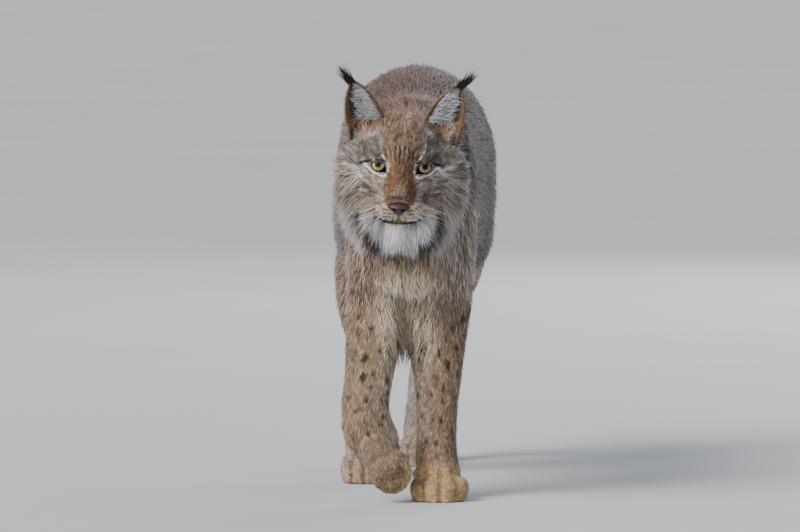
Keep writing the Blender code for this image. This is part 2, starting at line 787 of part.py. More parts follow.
def grow_fringes(parts):
    """The long coat of breast, belly, elbows, thighs and tail."""
    belly = [(x, y, 0.0) for y in span(0.15, 0.27, 5) for x in (-0.060, -0.020, 0.022, 0.064)]
    breast = [(x, -1.0, z) for z in span(0.40, 0.35, 2) for x in (-0.020, 0.012)]
    torso = list(fringe_plan(parts["torso"], belly, (0, 0, 1), (0, 1, -0.2), 34, 1.0, 31))
    torso += list(fringe_plan(parts["torso"], breast, (0, 1, 0), (0, 0, -1), 20, 0.8, 32))
    grow_locks(parts["torso"], torso)
    for name, side in SIDES.items():
        x = FORELEG_L[3][0] if side > 0 else FORELEG_R[3][0]
        elbow = [(x + dx, 0.6, z) for z in span(0.345, 0.225, 4) for dx in (-0.014, 0.014)]
        foreleg = parts["foreleg_" + name]
        grow_locks(foreleg, fringe_plan(foreleg, elbow, (0, -1, 0), (0, 0, -1), 24, 0.75, 34))
        x = HINDLEG_L[2][0] if side > 0 else HINDLEG_R[2][0]
        thigh = [(x + dx, 1.2, z) for z in span(0.500, 0.370, 4) for dx in (-0.020, 0.012)]
        hindleg = parts["hindleg_" + name]
        grow_locks(hindleg, fringe_plan(hindleg, thigh, (0, -1, 0), (0, 0, -1), 20, 0.85, 35))
    brush = [(x, 0.9, z) for z in (0.545, 0.512, 0.482) for x in (-0.014, 0.014)]
    brush_front = [(x, 0.70, z) for z in (0.520, 0.486) for x in (-0.012, 0.012)]
    tail = list(fringe_plan(parts["tail"], brush, (0, -1, 0), (0, 0, -1), 15, 0.7, 36))
    tail += list(fringe_plan(parts["tail"], brush_front, (0, 1, 0), (0, 0, -1), 15, 0.6, 37))
    grow_locks(parts["tail"], tail)


NEIGHBOURS = {
    "head": ("nose", "neck", "torso", "foreleg_r", "foreleg_l"),
    "neck": ("torso", "foreleg_r", "foreleg_l"),
    "tail": ("torso",),
    "foreleg_l": ("foreleg_r", "torso"),
    "foreleg_r": ("torso", "forepaw_r"),
    "hindleg_l": ("hindleg_r", "torso"),
    "hindleg_r": ("torso", "hindpaw_r"),
    "ear_l": ("head",),
    "ear_r": ("head",),
}
SLOTS = {"ear_l": "ear", "ear_r": "ear", "nose": "nose", "eye_l": "eye", "eye_r": "eye"}


# Where the coats of the two forelegs meet.
FORELEG_PARTING = -0.013


def stand_centred(parts):
    """Moves the whole so that its box stands on the floor, centred on the origin."""
    points = [v.co for part in parts.values() for v in part.data.vertices]
    low = [min(p[i] for p in points) for i in range(3)]
    high = [max(p[i] for p in points) for i in range(3)]
    shift = Vector((-(low[0] + high[0]) / 2, -(low[1] + high[1]) / 2, -low[2]))
    for part in parts.values():
        part.data.transform(Matrix.Translation(shift))
    return shift


def main():
    """Builds every node."""
    form = lynx_form()
    head_planes = [((0, -0.158, 0.5), (0.0, 1.0, -0.10))]
    head = part_off(form, "head", head_planes)
    thin_out(head, HEAD_TRIANGLES)
    thin_out(form, BODY_TRIANGLES)

    floor = cell([((0, 0, 0), (0, 0, 1))], 0.0)
    combine(form, floor, "DIFFERENCE")
    remove(floor)

    parts = {"head": head}
    parts["tail"] = part_off(form, "tail", [((0, 0.728, 0.596), (0, -1.0, 0.30)),
                                            ((0, 0, 0.40), (0, 0, -1))])
    parts["neck"] = part_off(form, "neck", [((0, -0.062, 0.56), (0, 1.0, 0.42)),
                                            ((0, -0.10, 0.452), (0, 0.25, -1.0))])
    for name, side in SIDES.items():
        parts["foreleg_" + name] = part_off(
            form,
            "foreleg_" + name,
            [
                ((FORELEG_PARTING, 0, 0.26), (-side, 0, 0)),
                ((FORELEG_PARTING + side * 0.004, 0, 0.27), (-side, 0, 0.21)),
                ((0, 0.118, 0.3), (0, 1, 0)),
                ((0, 0, 0.535), (0, 0, 1)),
            ],
        )
        parts["hindleg_" + name] = part_off(
            form,
            "hindleg_" + name,
            [
                ((-0.027, 0, 0.05), (-side, 0, side * 0.08)),
                ((side * 0.004, 0, 0.37), (-side, 0, 0.32)),
                ((0, 0.345, 0.4), (0, -1, 0.30)),
                ((0, 0, 0.592), (0, 0, 1)),
            ],
        )
    parts["forepaw_l"] = part_off(parts["foreleg_l"], "forepaw_l", [((0, 0, 0.070), (0, 0.25, 1))])
    parts["forepaw_r"] = part_off(
        parts["foreleg_r"], "forepaw_r", [((-0.056, -0.104, 0.110), (-0.45, 0.10, 1))]
    )
    parts["hindpaw_r"] = part_off(
        parts["hindleg_r"], "hindpaw_r", [((0, 0.365, 0.072), (0, 0.8, 1))]
    )
    parts["hindpaw_l"] = part_off(
        parts["hindleg_l"], "hindpaw_l", [((0, 0.700, 0.072), (0, 0.2, 1))]
    )
    form.name = "torso"
    cutters.objects.unlink(form)
    lynx.objects.link(form)
    form.hide_render = False
    parts["torso"] = form

    for name, side in SIDES.items():
        eyeball = open_eye(head, side)
        parts["eye_" + name] = object_of("eye_" + name, eyeball, lynx)
    parts["nose"] = nose_solid()
    cut_mouth(head)
    grow_locks(head, ruff_plan(head))
    grow_fringes(parts)
    for name, side in SIDES.items():
        ear = ear_solid("ear_" + name, side)
        grow_locks(ear, ear_tuft_plan(side))
        parts["ear_" + name] = ear
    for name, others in NEIGHBOURS.items():
        cut_clear(parts[name], *[parts[other] for other in others])
    for name, piece in parts.items():
        piece.data.materials.clear()
        piece.data.materials.append(material(SLOTS.get(name, "coat")))
    return parts


empty_scene()
lynx = bpy.data.collections.new("lynx")
cutters = bpy.data.collections.new("cutters")
for made_here in (lynx, cutters):
    bpy.context.scene.collection.children.link(made_here)
PARTS = main()
SHIFT = stand_centred(PARTS)
for spare in list(cutters.objects):
    bpy.data.objects.remove(spare)
bpy.data.collections.remove(cutters)
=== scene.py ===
# %% [markdown]
# # A life-size Eurasian lynx
# A lynx walks slowly towards the viewer with a low head and one forepaw lifted. The real animal
# is a soft body under a deep coat, so the lesson has three layers: a smooth skin, which stands
# in for every solid of flesh, thousands of small tufts that follow the lie of the coat, and the
# hard or wet pieces, which are eyes, nose, lips, pads and claws.

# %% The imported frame
import math

import bpy
import numpy as np
from mathutils import Euler, Matrix, Vector, kdtree
from mathutils.bvhtree import BVHTree


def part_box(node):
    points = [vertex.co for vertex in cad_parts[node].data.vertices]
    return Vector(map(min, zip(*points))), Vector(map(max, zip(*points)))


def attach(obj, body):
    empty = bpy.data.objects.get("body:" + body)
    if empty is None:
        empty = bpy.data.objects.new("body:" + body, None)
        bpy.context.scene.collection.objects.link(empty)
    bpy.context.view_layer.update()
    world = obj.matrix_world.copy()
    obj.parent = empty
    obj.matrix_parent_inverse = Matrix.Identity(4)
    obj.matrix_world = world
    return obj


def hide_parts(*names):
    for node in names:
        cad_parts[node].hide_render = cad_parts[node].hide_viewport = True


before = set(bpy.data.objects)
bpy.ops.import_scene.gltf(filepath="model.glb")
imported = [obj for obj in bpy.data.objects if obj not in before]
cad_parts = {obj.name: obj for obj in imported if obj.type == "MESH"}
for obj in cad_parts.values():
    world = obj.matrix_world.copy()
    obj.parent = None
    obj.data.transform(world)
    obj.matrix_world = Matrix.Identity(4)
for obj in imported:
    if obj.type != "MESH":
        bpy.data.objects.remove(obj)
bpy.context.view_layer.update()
bpy.ops.object.select_all(action="DESELECT")

# %% [markdown]
# ## Where the animal stands
# The animal is easiest to describe with the withers at y = 0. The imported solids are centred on
# their box, so the place of one eye in the frame tells how far everything has to move.

# %% Driving sizes, in metres
WITHERS_HEIGHT = 0.648
RUMP_HEIGHT = 0.690
HALF_TRUNK = 0.134
REAR_SWING = 0.010
PAW_WIDTH = 0.096
HIND_PAW_WIDTH = 0.078
PAW_LENGTH = 0.066
EYE_SPACING = 0.069
EYE_DROP = 0.0058
EYE_RADIUS = 0.0150
EAR_WIDTH = 0.056
HEAD_PLACE = Vector((-0.0150, -0.2580, 0.5465))
HEAD_TURN = Euler((math.radians(22.0), math.radians(3.0), math.radians(-1.2)), "XYZ")
HEAD = Matrix.LocRotScale(HEAD_PLACE, HEAD_TURN, None)
SIDES = {"r": -1.0, "l": 1.0}


def eye_centre(side):
    return HEAD @ Vector((side * EYE_SPACING / 2, 0.0, -EYE_DROP))


def middle(node):
    low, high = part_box(node)
    return (low + high) / 2


SHIFT = middle("eye_l") - eye_centre(1.0)
SHIFT.z = 0.0
print("shift into the frame:", [round(c, 5) for c in SHIFT])

# %% [markdown]
# ## The camera
# A long lens from twelve metres flattens the animal as in the photograph: the far hindquarters
# look nearly as large as the head. The camera stands a little above the back and looks down.

# %% Camera
CAMERA_DISTANCE = 12.0
CAMERA_PITCH = math.radians(3.2)
LENS = 340.2
AIM = Vector((-0.0175, -0.10, 0.3768)) + SHIFT

to_camera = Vector((0, -math.cos(CAMERA_PITCH), math.sin(CAMERA_PITCH)))
bpy.ops.object.camera_add(
    location=AIM + to_camera * CAMERA_DISTANCE,
    rotation=(math.radians(90) - CAMERA_PITCH, 0, 0),
)
camera = bpy.context.object
camera.name = "camera"
camera.data.sensor_width = 36
camera.data.lens = LENS
camera.data.clip_end = 200
bpy.context.scene.camera = camera

# %% [markdown]
# ## Floor and light
# The floor is one wide pale disc, so that every view has it. The main light comes from high on
# the left of the picture, as wide as a bright sky, and leaves the animal's left side in soft
# shade. One broad lamp helps it in front and one lights the back.

# %% Floor and lights
FLOOR_RADIUS = 70.0
SUN_FROM = Vector((-0.62, -0.60, 0.62))
SUN_STRENGTH = 3.4
SUN_SPREAD = math.radians(28)
SUN_COLOUR = (1.0, 0.96, 0.90)
SKY_COLOUR = (0.80, 0.87, 0.98, 1)
SKY_STRENGTH = 0.42
LIT_PLACE = Vector((0, 0, 0.4))
LIGHTS = {
    "front": ((-2.6, -6.0, 3.4), 3.6, 120, (1.0, 0.96, 0.92)),
    "back": ((2.4, 5.4, 2.6), 3.6, 120, (0.95, 0.97, 1.0)),
}


def new_material(name):
    made = bpy.data.materials.new(name)
    made.use_nodes = True
    return made, made.node_tree.nodes, made.node_tree.links


def set_inputs(node, **values):
    """Sets inputs by name. An underscore stands for a space."""
    for name, value in values.items():
        node.inputs[name.replace("_", " ")].default_value = value


def add_node(nodes, kind, **values):
    made = nodes.new("ShaderNode" + kind)
    set_inputs(made, **values)
    return made


def add_ramp(nodes, low, high, start=0.0, end=1.0):
    """A colour ramp between two colours."""
    made = add_node(nodes, "ValToRGB")
    for element, colour, place in zip(made.color_ramp.elements, (low, high), (start, end)):
        element.color = (*colour, 1)
        element.position = place
    return made


def wire(links, *rows):
    """Each row names a node and its output, then the next node and its input."""
    for start, out, end, into in rows:
        links.new(start.outputs[out], end.inputs[into])


def floor_material():
    made, nodes, links = new_material("pale_floor")
    shader = nodes["Principled BSDF"]
    place = add_node(nodes, "TexCoord")
    noise = add_node(nodes, "TexNoise", Scale=1.4)
    shade = add_ramp(nodes, (0.60, 0.61, 0.63), (0.68, 0.69, 0.70))
    wire(
        links,
        (place, "Object", noise, "Vector"),
        (noise, "Fac", shade, "Fac"),
        (shade, "Color", shader, "Base Color"),
    )
    set_inputs(shader, Roughness=0.85)
    return made


def place_light(kind, name, place, ahead):
    """A light at a place, turned to look along a direction."""
    bpy.ops.object.light_add(type=kind, location=place)
    made = bpy.context.object
    made.name = name + "_light"
    made.rotation_mode = "QUATERNION"
    made.rotation_quaternion = ahead.to_track_quat("-Z", "Y")
    return made.data


bpy.ops.mesh.primitive_circle_add(vertices=64, radius=FLOOR_RADIUS, fill_type="NGON")
floor = bpy.context.object
floor.name = "floor"
floor.data.materials.append(floor_material())

for name, (place, size, power, colour) in LIGHTS.items():
    light = place_light("AREA", name, Vector(place), LIT_PLACE - Vector(place))
    light.size = size
    light.energy = power
    light.color = colour

sun = place_light("SUN", "key", SUN_FROM * 6, -SUN_FROM)
sun.energy = SUN_STRENGTH
sun.angle = SUN_SPREAD
sun.color = SUN_COLOUR

SIGHT = (camera.location - SHIFT - HEAD_PLACE).normalized()
FACE_X = HEAD.to_3x3() @ Vector((1, 0, 0))
FACE_X = (FACE_X - SIGHT * FACE_X.dot(SIGHT)).normalized()
FACE_UP = SIGHT.cross(FACE_X)

world = bpy.data.worlds.new("studio")
bpy.context.scene.world = world
world.use_nodes = True
set_inputs(world.node_tree.nodes["Background"], Color=SKY_COLOUR, Strength=SKY_STRENGTH)

# %% [markdown]
# ## Soft masses
# A body is laid down as an anatomist's clay: balls for the muscles and tapering lofts for the
# neck, limbs and tail. A loft starts as a flat grid, whose rows are rolled up into rings that
# stand square to the limb's path. A table names the stations, and a smooth curve runs between.

# %% Balls and lofts
LOFT_STEPS = 3
SAME_PLACE = 1e-6


def choose(*objects):
    """Selects these objects alone and makes the first one active."""
    bpy.ops.object.select_all(action="DESELECT")
    for o in objects:
        o.select_set(True)
    bpy.context.view_layer.objects.active = objects[0]


def ball(centre, radii, turn=(0, 0, 0), within=None, segments=28):
    """One soft mass. The turn is in degrees about X, Y and Z."""
    bpy.ops.mesh.primitive_uv_sphere_add(segments=segments, ring_count=segments // 2, radius=1.0)
    made = bpy.context.object
    angles = Euler([math.radians(a) for a in turn], "XYZ")
    made.matrix_world = (within or Matrix()) @ Matrix.LocRotScale(
        Vector(centre), angles, Vector(radii)
    )
    return made


def edited(obj, *steps):
    """Runs steps of edit mode, each on the whole mesh, and then turns its faces outwards."""
    choose(obj)
    bpy.ops.object.mode_set(mode="EDIT")
    for step, values in (*steps, (bpy.ops.mesh.normals_make_consistent, {"inside": False})):
        bpy.ops.mesh.select_all(action="SELECT")
        step(**values)
    bpy.ops.object.mode_set(mode="OBJECT")
    return obj


def placed(obj):
    """Moves an object's place into its mesh."""
    choose(obj)
    bpy.ops.object.transform_apply(location=True, rotation=True, scale=True)
    return obj


def unit(vectors, least=0.0):
    """Rows of an array at length 1. A small least length keeps a zero row from failing."""
    return vectors / (np.linalg.norm(vectors, axis=-1)[..., None] + least)


def catmull(values, t):
    """A smooth row of numbers at t, counted in stations."""
    i = min(int(t), len(values) - 2)
    f = t - i
    a, b, c, d = (np.array(values[max(0, min(len(values) - 1, i + k))]) for k in (-1, 0, 1, 2))
    return 0.5 * (
        2 * b + (c - a) * f + (2 * a - 5 * b + 4 * c - d) * f * f + (3 * b - a - 3 * c + d) * f**3
    )


def ring_rows(stations, steps):
    count = (len(stations) - 1) * steps
    return np.array([catmull(stations, k / steps) for k in range(count + 1)])


def rolled(rows, sides):
    """Points of the rings, one row of them for each station."""
    points = rows[:, :3]
    along = unit(np.gradient(points, axis=0))
    across = unit(np.array([1.0, 0, 0]) - along * along[:, :1])
    deep = np.cross(along, across)
    angle = 2 * np.pi * np.arange(sides + 1) / sides
    return (
        points[:, None]
        + across[:, None] * (rows[:, 3, None] * np.cos(angle))[..., None]
        + deep[:, None] * (rows[:, 4, None] * np.sin(angle))[..., None]
    )


def read(items, key, width, kind=float):
    """One value of every item, as rows of this width."""
    flat = np.zeros(len(items) * width, kind)
    items.foreach_get(key, flat)
    return flat.reshape(-1, width)


def coords(obj):
    return read(obj.data.vertices, "co", 3)


def vertex_normals(obj):
    return read(obj.data.vertices, "normal", 3)


def set_coords(obj, points):
    obj.data.vertices.foreach_set("co", np.ascontiguousarray(points).ravel())
    obj.data.update()


def grid_piece(points, name="grid"):
    """A grid primitive whose vertices take these places, rows by columns."""
    high, wide = points.shape[0] - 1, points.shape[1] - 1
    bpy.ops.mesh.primitive_grid_add(x_subdivisions=wide, y_subdivisions=high, size=2)
    made = bpy.context.object
    made.name = name
    flat = coords(made)
    column = np.rint((flat[:, 0] + 1) / 2 * wide).astype(int)
    row = np.rint((flat[:, 1] + 1) / 2 * high).astype(int)
    set_coords(made, points[row, column])
    return made


def limb(stations, sides=24, within=None):
    """A closed loft through elliptical rings: x, y, z, half width and half depth."""
    made = grid_piece(rolled(ring_rows(stations, LOFT_STEPS), sides))
    made.matrix_world = within or Matrix()
    return edited(
        made,
        (bpy.ops.mesh.remove_doubles, {"threshold": SAME_PLACE}),
        (bpy.ops.mesh.fill_holes, {"sides": 0}),
    )


def joined(objects, name):
    """One object from many, with its place in its mesh."""
    choose(*objects)
    bpy.ops.object.transform_apply(location=True, rotation=True, scale=True)
    bpy.ops.object.join()
    made = bpy.context.object
    made.name = name
    made.data.name = name
    return made


def apply(obj, kind, **settings):
    """Adds one modifier with these settings and applies it."""
    choose(obj)
    modifier = obj.modifiers.new("step", kind)
    for key, value in settings.items():
        setattr(modifier, key, value)
    bpy.ops.object.modifier_apply(modifier=modifier.name)
    return obj


def blended(objects, name, voxel, smoothing):
    """Fuses overlapping masses into one soft form."""
    made = joined(objects, name)
    apply(made, "REMESH", mode="VOXEL", voxel_size=voxel)
    apply(made, "SMOOTH", factor=0.5, iterations=smoothing)
    return made


def smooth_where(obj, weights, iterations):
    """Smooths a mesh by a weight for each vertex."""
    group = obj.vertex_groups.new(name="soft")
    for i in np.nonzero(weights > 0.001)[0]:
        group.add([int(i)], float(weights[i]), "REPLACE")
    apply(obj, "SMOOTH", factor=0.5, iterations=iterations, vertex_group=group.name)
    obj.vertex_groups.clear()


def let_in(obj, depth):
    """Lets a surface in along its normals."""
    set_coords(obj, coords(obj) - vertex_normals(obj) * depth[:, None])


def combine(obj, other, operation):
    apply(obj, "BOOLEAN", operation=operation, solver="MANIFOLD", object=other)
    bpy.data.objects.remove(other)
    return obj


def local_places(points, back):
    """Points in another frame, from the matrix that leads back to it."""
    back = np.array(back)
    return points @ back[:3, :3].T + back[:3, 3]


def tree_of(points):
    """A tree that finds the nearest of these points."""
    tree = kdtree.KDTree(len(points))
    for number, point in enumerate(points):
        tree.insert(point, number)
    tree.balance()
    return tree


def ordered(obj):
    """Sorts the faces, because a boolean leaves them in an order that changes between runs."""
    points = coords(obj)
    faces = []
    for polygon in obj.data.polygons:
        corners = list(polygon.vertices)
        first = corners.index(min(corners))
        faces.append(corners[first:] + corners[:first])
    obj.data.clear_geometry()
    obj.data.from_pydata(points, [], sorted(faces))
    obj.data.update()


def ramp(x, low, high):
    """0 below low, 1 above high, and smooth between. Low may be the larger."""
    t = np.clip((np.asarray(x, float) - low) / (high - low), 0, 1)
    return t * t * (3 - 2 * t)


# %% [markdown]
# ## The body's tables
# Each row of the trunk holds the distance behind the withers, a share of the half width, and
# the heights of belly and back, in metres. Each row of a limb holds a place and two half sizes,
# in millimetres. They are the sizes of the solids, so skin and solids agree.

# %% Body tables
TRUNK = (
    (-0.150, 0.22, 0.425, 0.490),
    (-0.128, 0.46, 0.385, 0.530),
    (-0.090, 0.66, 0.342, 0.580),
    (-0.040, 0.77, 0.312, 0.628),
    (0.020, 0.82, 0.298, WITHERS_HEIGHT),
    (0.100, 0.87, 0.290, WITHERS_HEIGHT - 0.003),
    (0.200, 0.93, 0.286, WITHERS_HEIGHT - 0.012),
    (0.300, 0.98, 0.294, WITHERS_HEIGHT - 0.010),
    (0.400, 1.00, 0.314, WITHERS_HEIGHT + 0.003),
    (0.490, 0.98, 0.345, RUMP_HEIGHT - 0.013),
    (0.570, 0.92, 0.400, RUMP_HEIGHT),
    (0.640, 0.77, 0.460, RUMP_HEIGHT - 0.008),
    (0.700, 0.54, 0.515, RUMP_HEIGHT - 0.034),
    (0.732, 0.27, 0.555, RUMP_HEIGHT - 0.062),
)
LIMB_TABLES = {
    "neck": (
        (0, 30, 545, 84, 92), (-2, -40, 546, 88, 86), (-6, -95, 544, 85, 84),
        (-10, -145, 546, 80, 78), (-14, -190, 548, 60, 60),
    ),
    "foreleg_l": (
        (62, 20, 575, 30, 50), (67, -10, 520, 38, 70), (62, -30, 450, 46, 76),
        (53, -18, 385, 53, 70), (46, -4, 325, 57, 58), (41, -8, 258, 53, 47),
        (43, -15, 200, 43, 41), (42, -21, 152, 36, 36), (41, -26, 105, 34, 35),
        (41, -34, 65, 36, 37), (45, -44, 34, 38, 39), (45, -50, 16, 30, 27),
    ),
    "foreleg_r": (
        (-56, 20, 575, 30, 50), (-62, -15, 520, 36, 70), (-62, -40, 450, 43, 76),
        (-59, -32, 385, 47, 72), (-58, -22, 325, 48, 62), (-60, -44, 260, 48, 51),
        (-67, -74, 202, 43, 42), (-73, -98, 152, 41, 37), (-68, -112, 119, 44, 36),
        (-55, -110, 92, 42, 32), (-47, -100, 68, 33, 24),
    ),
    "hindleg_r": (
        (-66, 585, 605, 40, 55), (-76, 550, 530, 46, 92), (-74, 488, 450, 43, 86),
        (-74, 436, 385, 41, 68), (-73, 426, 322, 38, 52), (-70, 440, 262, 31, 41),
        (-73, 452, 205, 28, 34), (-75, 428, 150, 27, 30), (-77, 388, 96, 29, 29),
        (-78, 350, 55, 33, 30), (-78, 318, 30, 30, 22),
    ),
    "hindleg_l": (
        (78, 590, 605, 40, 55), (90, 578, 530, 48, 92), (90, 556, 450, 46, 86),
        (85, 544, 385, 44, 70), (77, 566, 328, 42, 54), (58, 630, 280, 34, 42),
        (40, 702, 238, 30, 36), (29, 732, 192, 28, 33), (22, 722, 140, 27, 29),
        (19, 706, 92, 29, 28), (18, 690, 50, 33, 30), (18, 672, 26, 30, 22),
    ),
    "tail": (
        (0, 690, 612, 34, 36), (0, 738, 592, 31, 30), (0, 768, 552, 29, 28), (0, 778, 508, 28, 27),
        (0, 778, 468, 24, 24), (0, 776, 446, 12, 13),
    ),
}
PAWS = {
    "forepaw_l": ((0.0452, -0.036, 0.0), (0.0, -1.0, 0.0), PAW_WIDTH, 1.0),
    "forepaw_r": ((-0.0530, -0.112, 0.092), (0.42, 0.30, -0.85), PAW_WIDTH * 0.83, 0.92),
    "hindpaw_r": ((-0.0780, 0.315, 0.0), (0.02, -1.0, 0.0), HIND_PAW_WIDTH, 1.06),
    "hindpaw_l": ((0.0180, 0.665, 0.0), (-0.02, -1.0, 0.0), HIND_PAW_WIDTH, 1.06),
}
TOE_SPREAD = (-0.36, -0.13, 0.13, 0.36)
TOE_REACH = (0.62, 0.80, 0.80, 0.62)
LIFTED = "forepaw_r"
LIFTED_SPREAD = 0.80

# %% Paws and trunk


def paw_frame(name):
    """The paw's own frame: heel at the origin, toes towards -y and the sole at z = 0."""
    place, toes, _, _ = PAWS[name]
    back = -Vector(toes).normalized()
    guide = Vector((0, 0, 1)) if abs(back.z) < 0.5 else Vector((0, -1, 0))
    top = (guide - back * guide.dot(back)).normalized()
    across = back.cross(top)
    turn = Matrix((across, back, top)).transposed()
    return Matrix.Translation(place) @ turn.to_4x4()


def toe_places(name):
    """Middle of each toe in the paw's frame, and its turn about z in degrees."""
    _, _, width, long = PAWS[name]
    lifted = name == LIFTED
    spread = width * (LIFTED_SPREAD if lifted else 1.0)
    height = 0.023 if lifted else 0.021
    return [
        ((side * spread, -PAW_LENGTH * long * reach * (1.04 if lifted else 1.0), height), -side * 20)
        for side, reach in zip(TOE_SPREAD, TOE_REACH)
    ]


def paw_masses(name):
    """A rounded top over the heel, a sole, and four toes."""
    _, _, width, long = PAWS[name]
    own = paw_frame(name)
    lifted = name == LIFTED
    low = 0.018 if lifted else 0.014
    heel = 0.85 if lifted else 1.0
    over = 0.018 if lifted else 0.027
    masses = [
        ball((0, 0, over), (width * 0.42 * heel, 0.040 * long, 0.029 * heel), within=own),
        ball((0, -0.026, 0.024), (width * 0.44, 0.034 * long, 0.026), within=own),
        ball((0, -0.012, low), (width * 0.36, 0.034, 0.018), within=own),
        ball((0, -PAW_LENGTH * long * 0.74, 0.0215), (width * 0.455, 0.029, 0.0205), within=own),
    ]
    if lifted:
        masses += [
            ball((0, -PAW_LENGTH * long * 0.88, 0.022), (width * 0.40, 0.027, 0.022), within=own),
            ball((-0.0095, -0.004, 0.017), (0.0265, 0.042, 0.025), within=own),
        ]
    else:
        dome = 0.040 if "fore" in name else 0.033
        masses += [
            ball((0, -0.034 * long, 0.010), (width * 0.485, 0.041 * long, dome), within=own),
            ball((-0.005, -0.012, dome), (width * 0.415, 0.036, dome * 0.64), within=own),
        ]
    for centre, turn in toe_places(name):
        masses.append(ball(centre, (width * 0.150, 0.024, 0.020), (12, 0, turn), own))
    return masses


def toe_gaps(points):
    """1 in the gaps between the toes, on their tops and fronts."""
    gap = np.zeros(len(points))
    for name, (_, _, width, long) in PAWS.items():
        local = local_places(points, paw_frame(name).inverted())
        spread = width * (LIFTED_SPREAD if name == LIFTED else 1.0)
        front = ramp(local[:, 1], -0.022, -0.046) * ramp(np.abs(local[:, 2]), 0.060, 0.052)
        front *= ramp(local[:, 1], -0.12, -0.11) * (0.3 if name == LIFTED else 1.0)
        for first, second in zip(TOE_SPREAD, TOE_SPREAD[1:]):
            fan = (first + second) / 2 * (1 - 9.0 * (local[:, 1] + PAW_LENGTH * long * 0.75))
            away = np.abs(local[:, 0] - fan * spread)
            gap = np.maximum(gap, ramp(away, 0.0062, 0.0010) * front)
    return gap


def rear_shift(y):
    """The hindquarters swing a little to the animal's left as it walks."""
    return REAR_SWING * min(1.0, max(0.0, y / 0.4))


TRUNK_STATIONS = [
    (rear_shift(y), y, (low + high) / 2, share * HALF_TRUNK, (high - low) / 2)
    for y, share, low, high in TRUNK
]


def trunk_masses():
    """The barrel, with shoulder blades, thighs and flanks over it."""
    masses = [limb(TRUNK_STATIONS, sides=36)]
    rear = REAR_SWING
    for side in SIDES.values():
        masses += [
            ball((side * 0.044, 0.024, 0.552), (0.048, 0.088, 0.086), (-14, side * 14, 0)),
            ball((side * 0.064, -0.045, 0.462), (0.042, 0.066, 0.092), (14, 0, 0)),
            ball((side * 0.084 + rear, 0.545, 0.510), (0.050, 0.108, 0.108), (-20, 0, 0)),
            ball((side * 0.073 + 0.005, 0.300, 0.436), (0.062, 0.190, 0.114), (3, 0, 0)),
            ball((side * 0.044 + rear, 0.655, 0.560), (0.052, 0.060, 0.078), (-12, 0, 0)),
        ]
    masses += [
        ball((0, -0.080, 0.430), (0.074, 0.066, 0.102), (-16, 0, 0)),
        ball((-0.085, 0.420, 0.328), (0.043, 0.104, 0.116), (-20, 0, 0)),
        ball((-0.078, 0.420, 0.240), (0.032, 0.056, 0.040), (34, 0, 0)),
        ball((0.084, 0.470, 0.390), (0.034, 0.086, 0.064), (-38, 0, 0)),
    ]
    return masses


# %% [markdown]
# ## The body under its coat
# The masses fuse in a voxel remesh. The trunk is smoothed more than the paws, and then the whole
# surface sinks by the depth of the coat there: deep on back, belly and neck, thin on the paws.

# %% Body skin
BODY_VOXEL = 0.0045
PAW_VOXEL = 0.0020
COAT_DEPTH = {"trunk": 0.010, "neck": 0.012, "tail": 0.008, "leg": 0.0050, "paw": 0.0028}
LIMBS = {"trunk": TRUNK_STATIONS}
for name, table in LIMB_TABLES.items():
    LIMBS[name] = np.array(table) / 1000
LIMB_SHARPNESS = 7.0
SOFT_SMOOTHING = 34
TOE_GAP_DEPTH = 0.0024
FLOOR_GAP = 0.0015
LIMB_ROWS = {name: ring_rows(stations, 5) for name, stations in LIMBS.items()}


def nearness(points):
    """For each limb: distance in shares of its radius, and the limb's direction there."""
    found = {}
    for name, rows in LIMB_ROWS.items():
        along = unit(np.gradient(rows[:, :3], axis=0))
        best = np.full(len(points), 1e9)
        index = np.zeros(len(points), int)
        for k, row in enumerate(rows):
            share = np.linalg.norm(points - row[:3], axis=1) / max(row[3], row[4])
            closer = share < best
            best[closer] = share[closer]
            index[closer] = k
        found[name] = (best, along[index])
    return found


def softest(found):
    """Shares of the limbs at each point, which add up to 1."""
    names = list(found)
    near = np.stack([found[n][0] for n in names])
    weights = np.exp(-LIMB_SHARPNESS * (near - near.min(0)))
    weights /= weights.sum(0)
    return dict(zip(names, weights))


def legs_share(weights):
    return sum(w for name, w in weights.items() if "leg" in name)


def paw_share(points, top=0.085, heel=0.034):
    """1 on the paws and 0 above a height, or behind a place of the lifted paw's own frame."""
    share = ramp(points[:, 2], top, top * 0.65)
    local = local_places(points, paw_frame(LIFTED).inverted())
    lifted = ramp(local[:, 1], heel, heel - 0.024) * ramp(np.abs(local[:, 0]), 0.075, 0.055)
    lifted *= ramp(points[:, 1], 0.02, -0.02) * ramp(points[:, 0], 0.02, 0.0)
    return np.maximum(share, lifted * ramp(points[:, 2], 0.19, 0.15))


def body_depth(points):
    """Depth of the coat over the body, thinner down the legs."""
    weights = softest(nearness(points))
    legs = legs_share(weights)
    depth = (
        weights["trunk"] * COAT_DEPTH["trunk"]
        + weights["neck"] * COAT_DEPTH["neck"]
        + weights["tail"] * COAT_DEPTH["tail"]
        + legs * COAT_DEPTH["leg"]
    )
    depth *= 1 - 0.45 * legs * ramp(points[:, 2], 0.30, 0.12)
    paws = paw_share(points)
    return depth * (1 - paws) + COAT_DEPTH["paw"] * paws


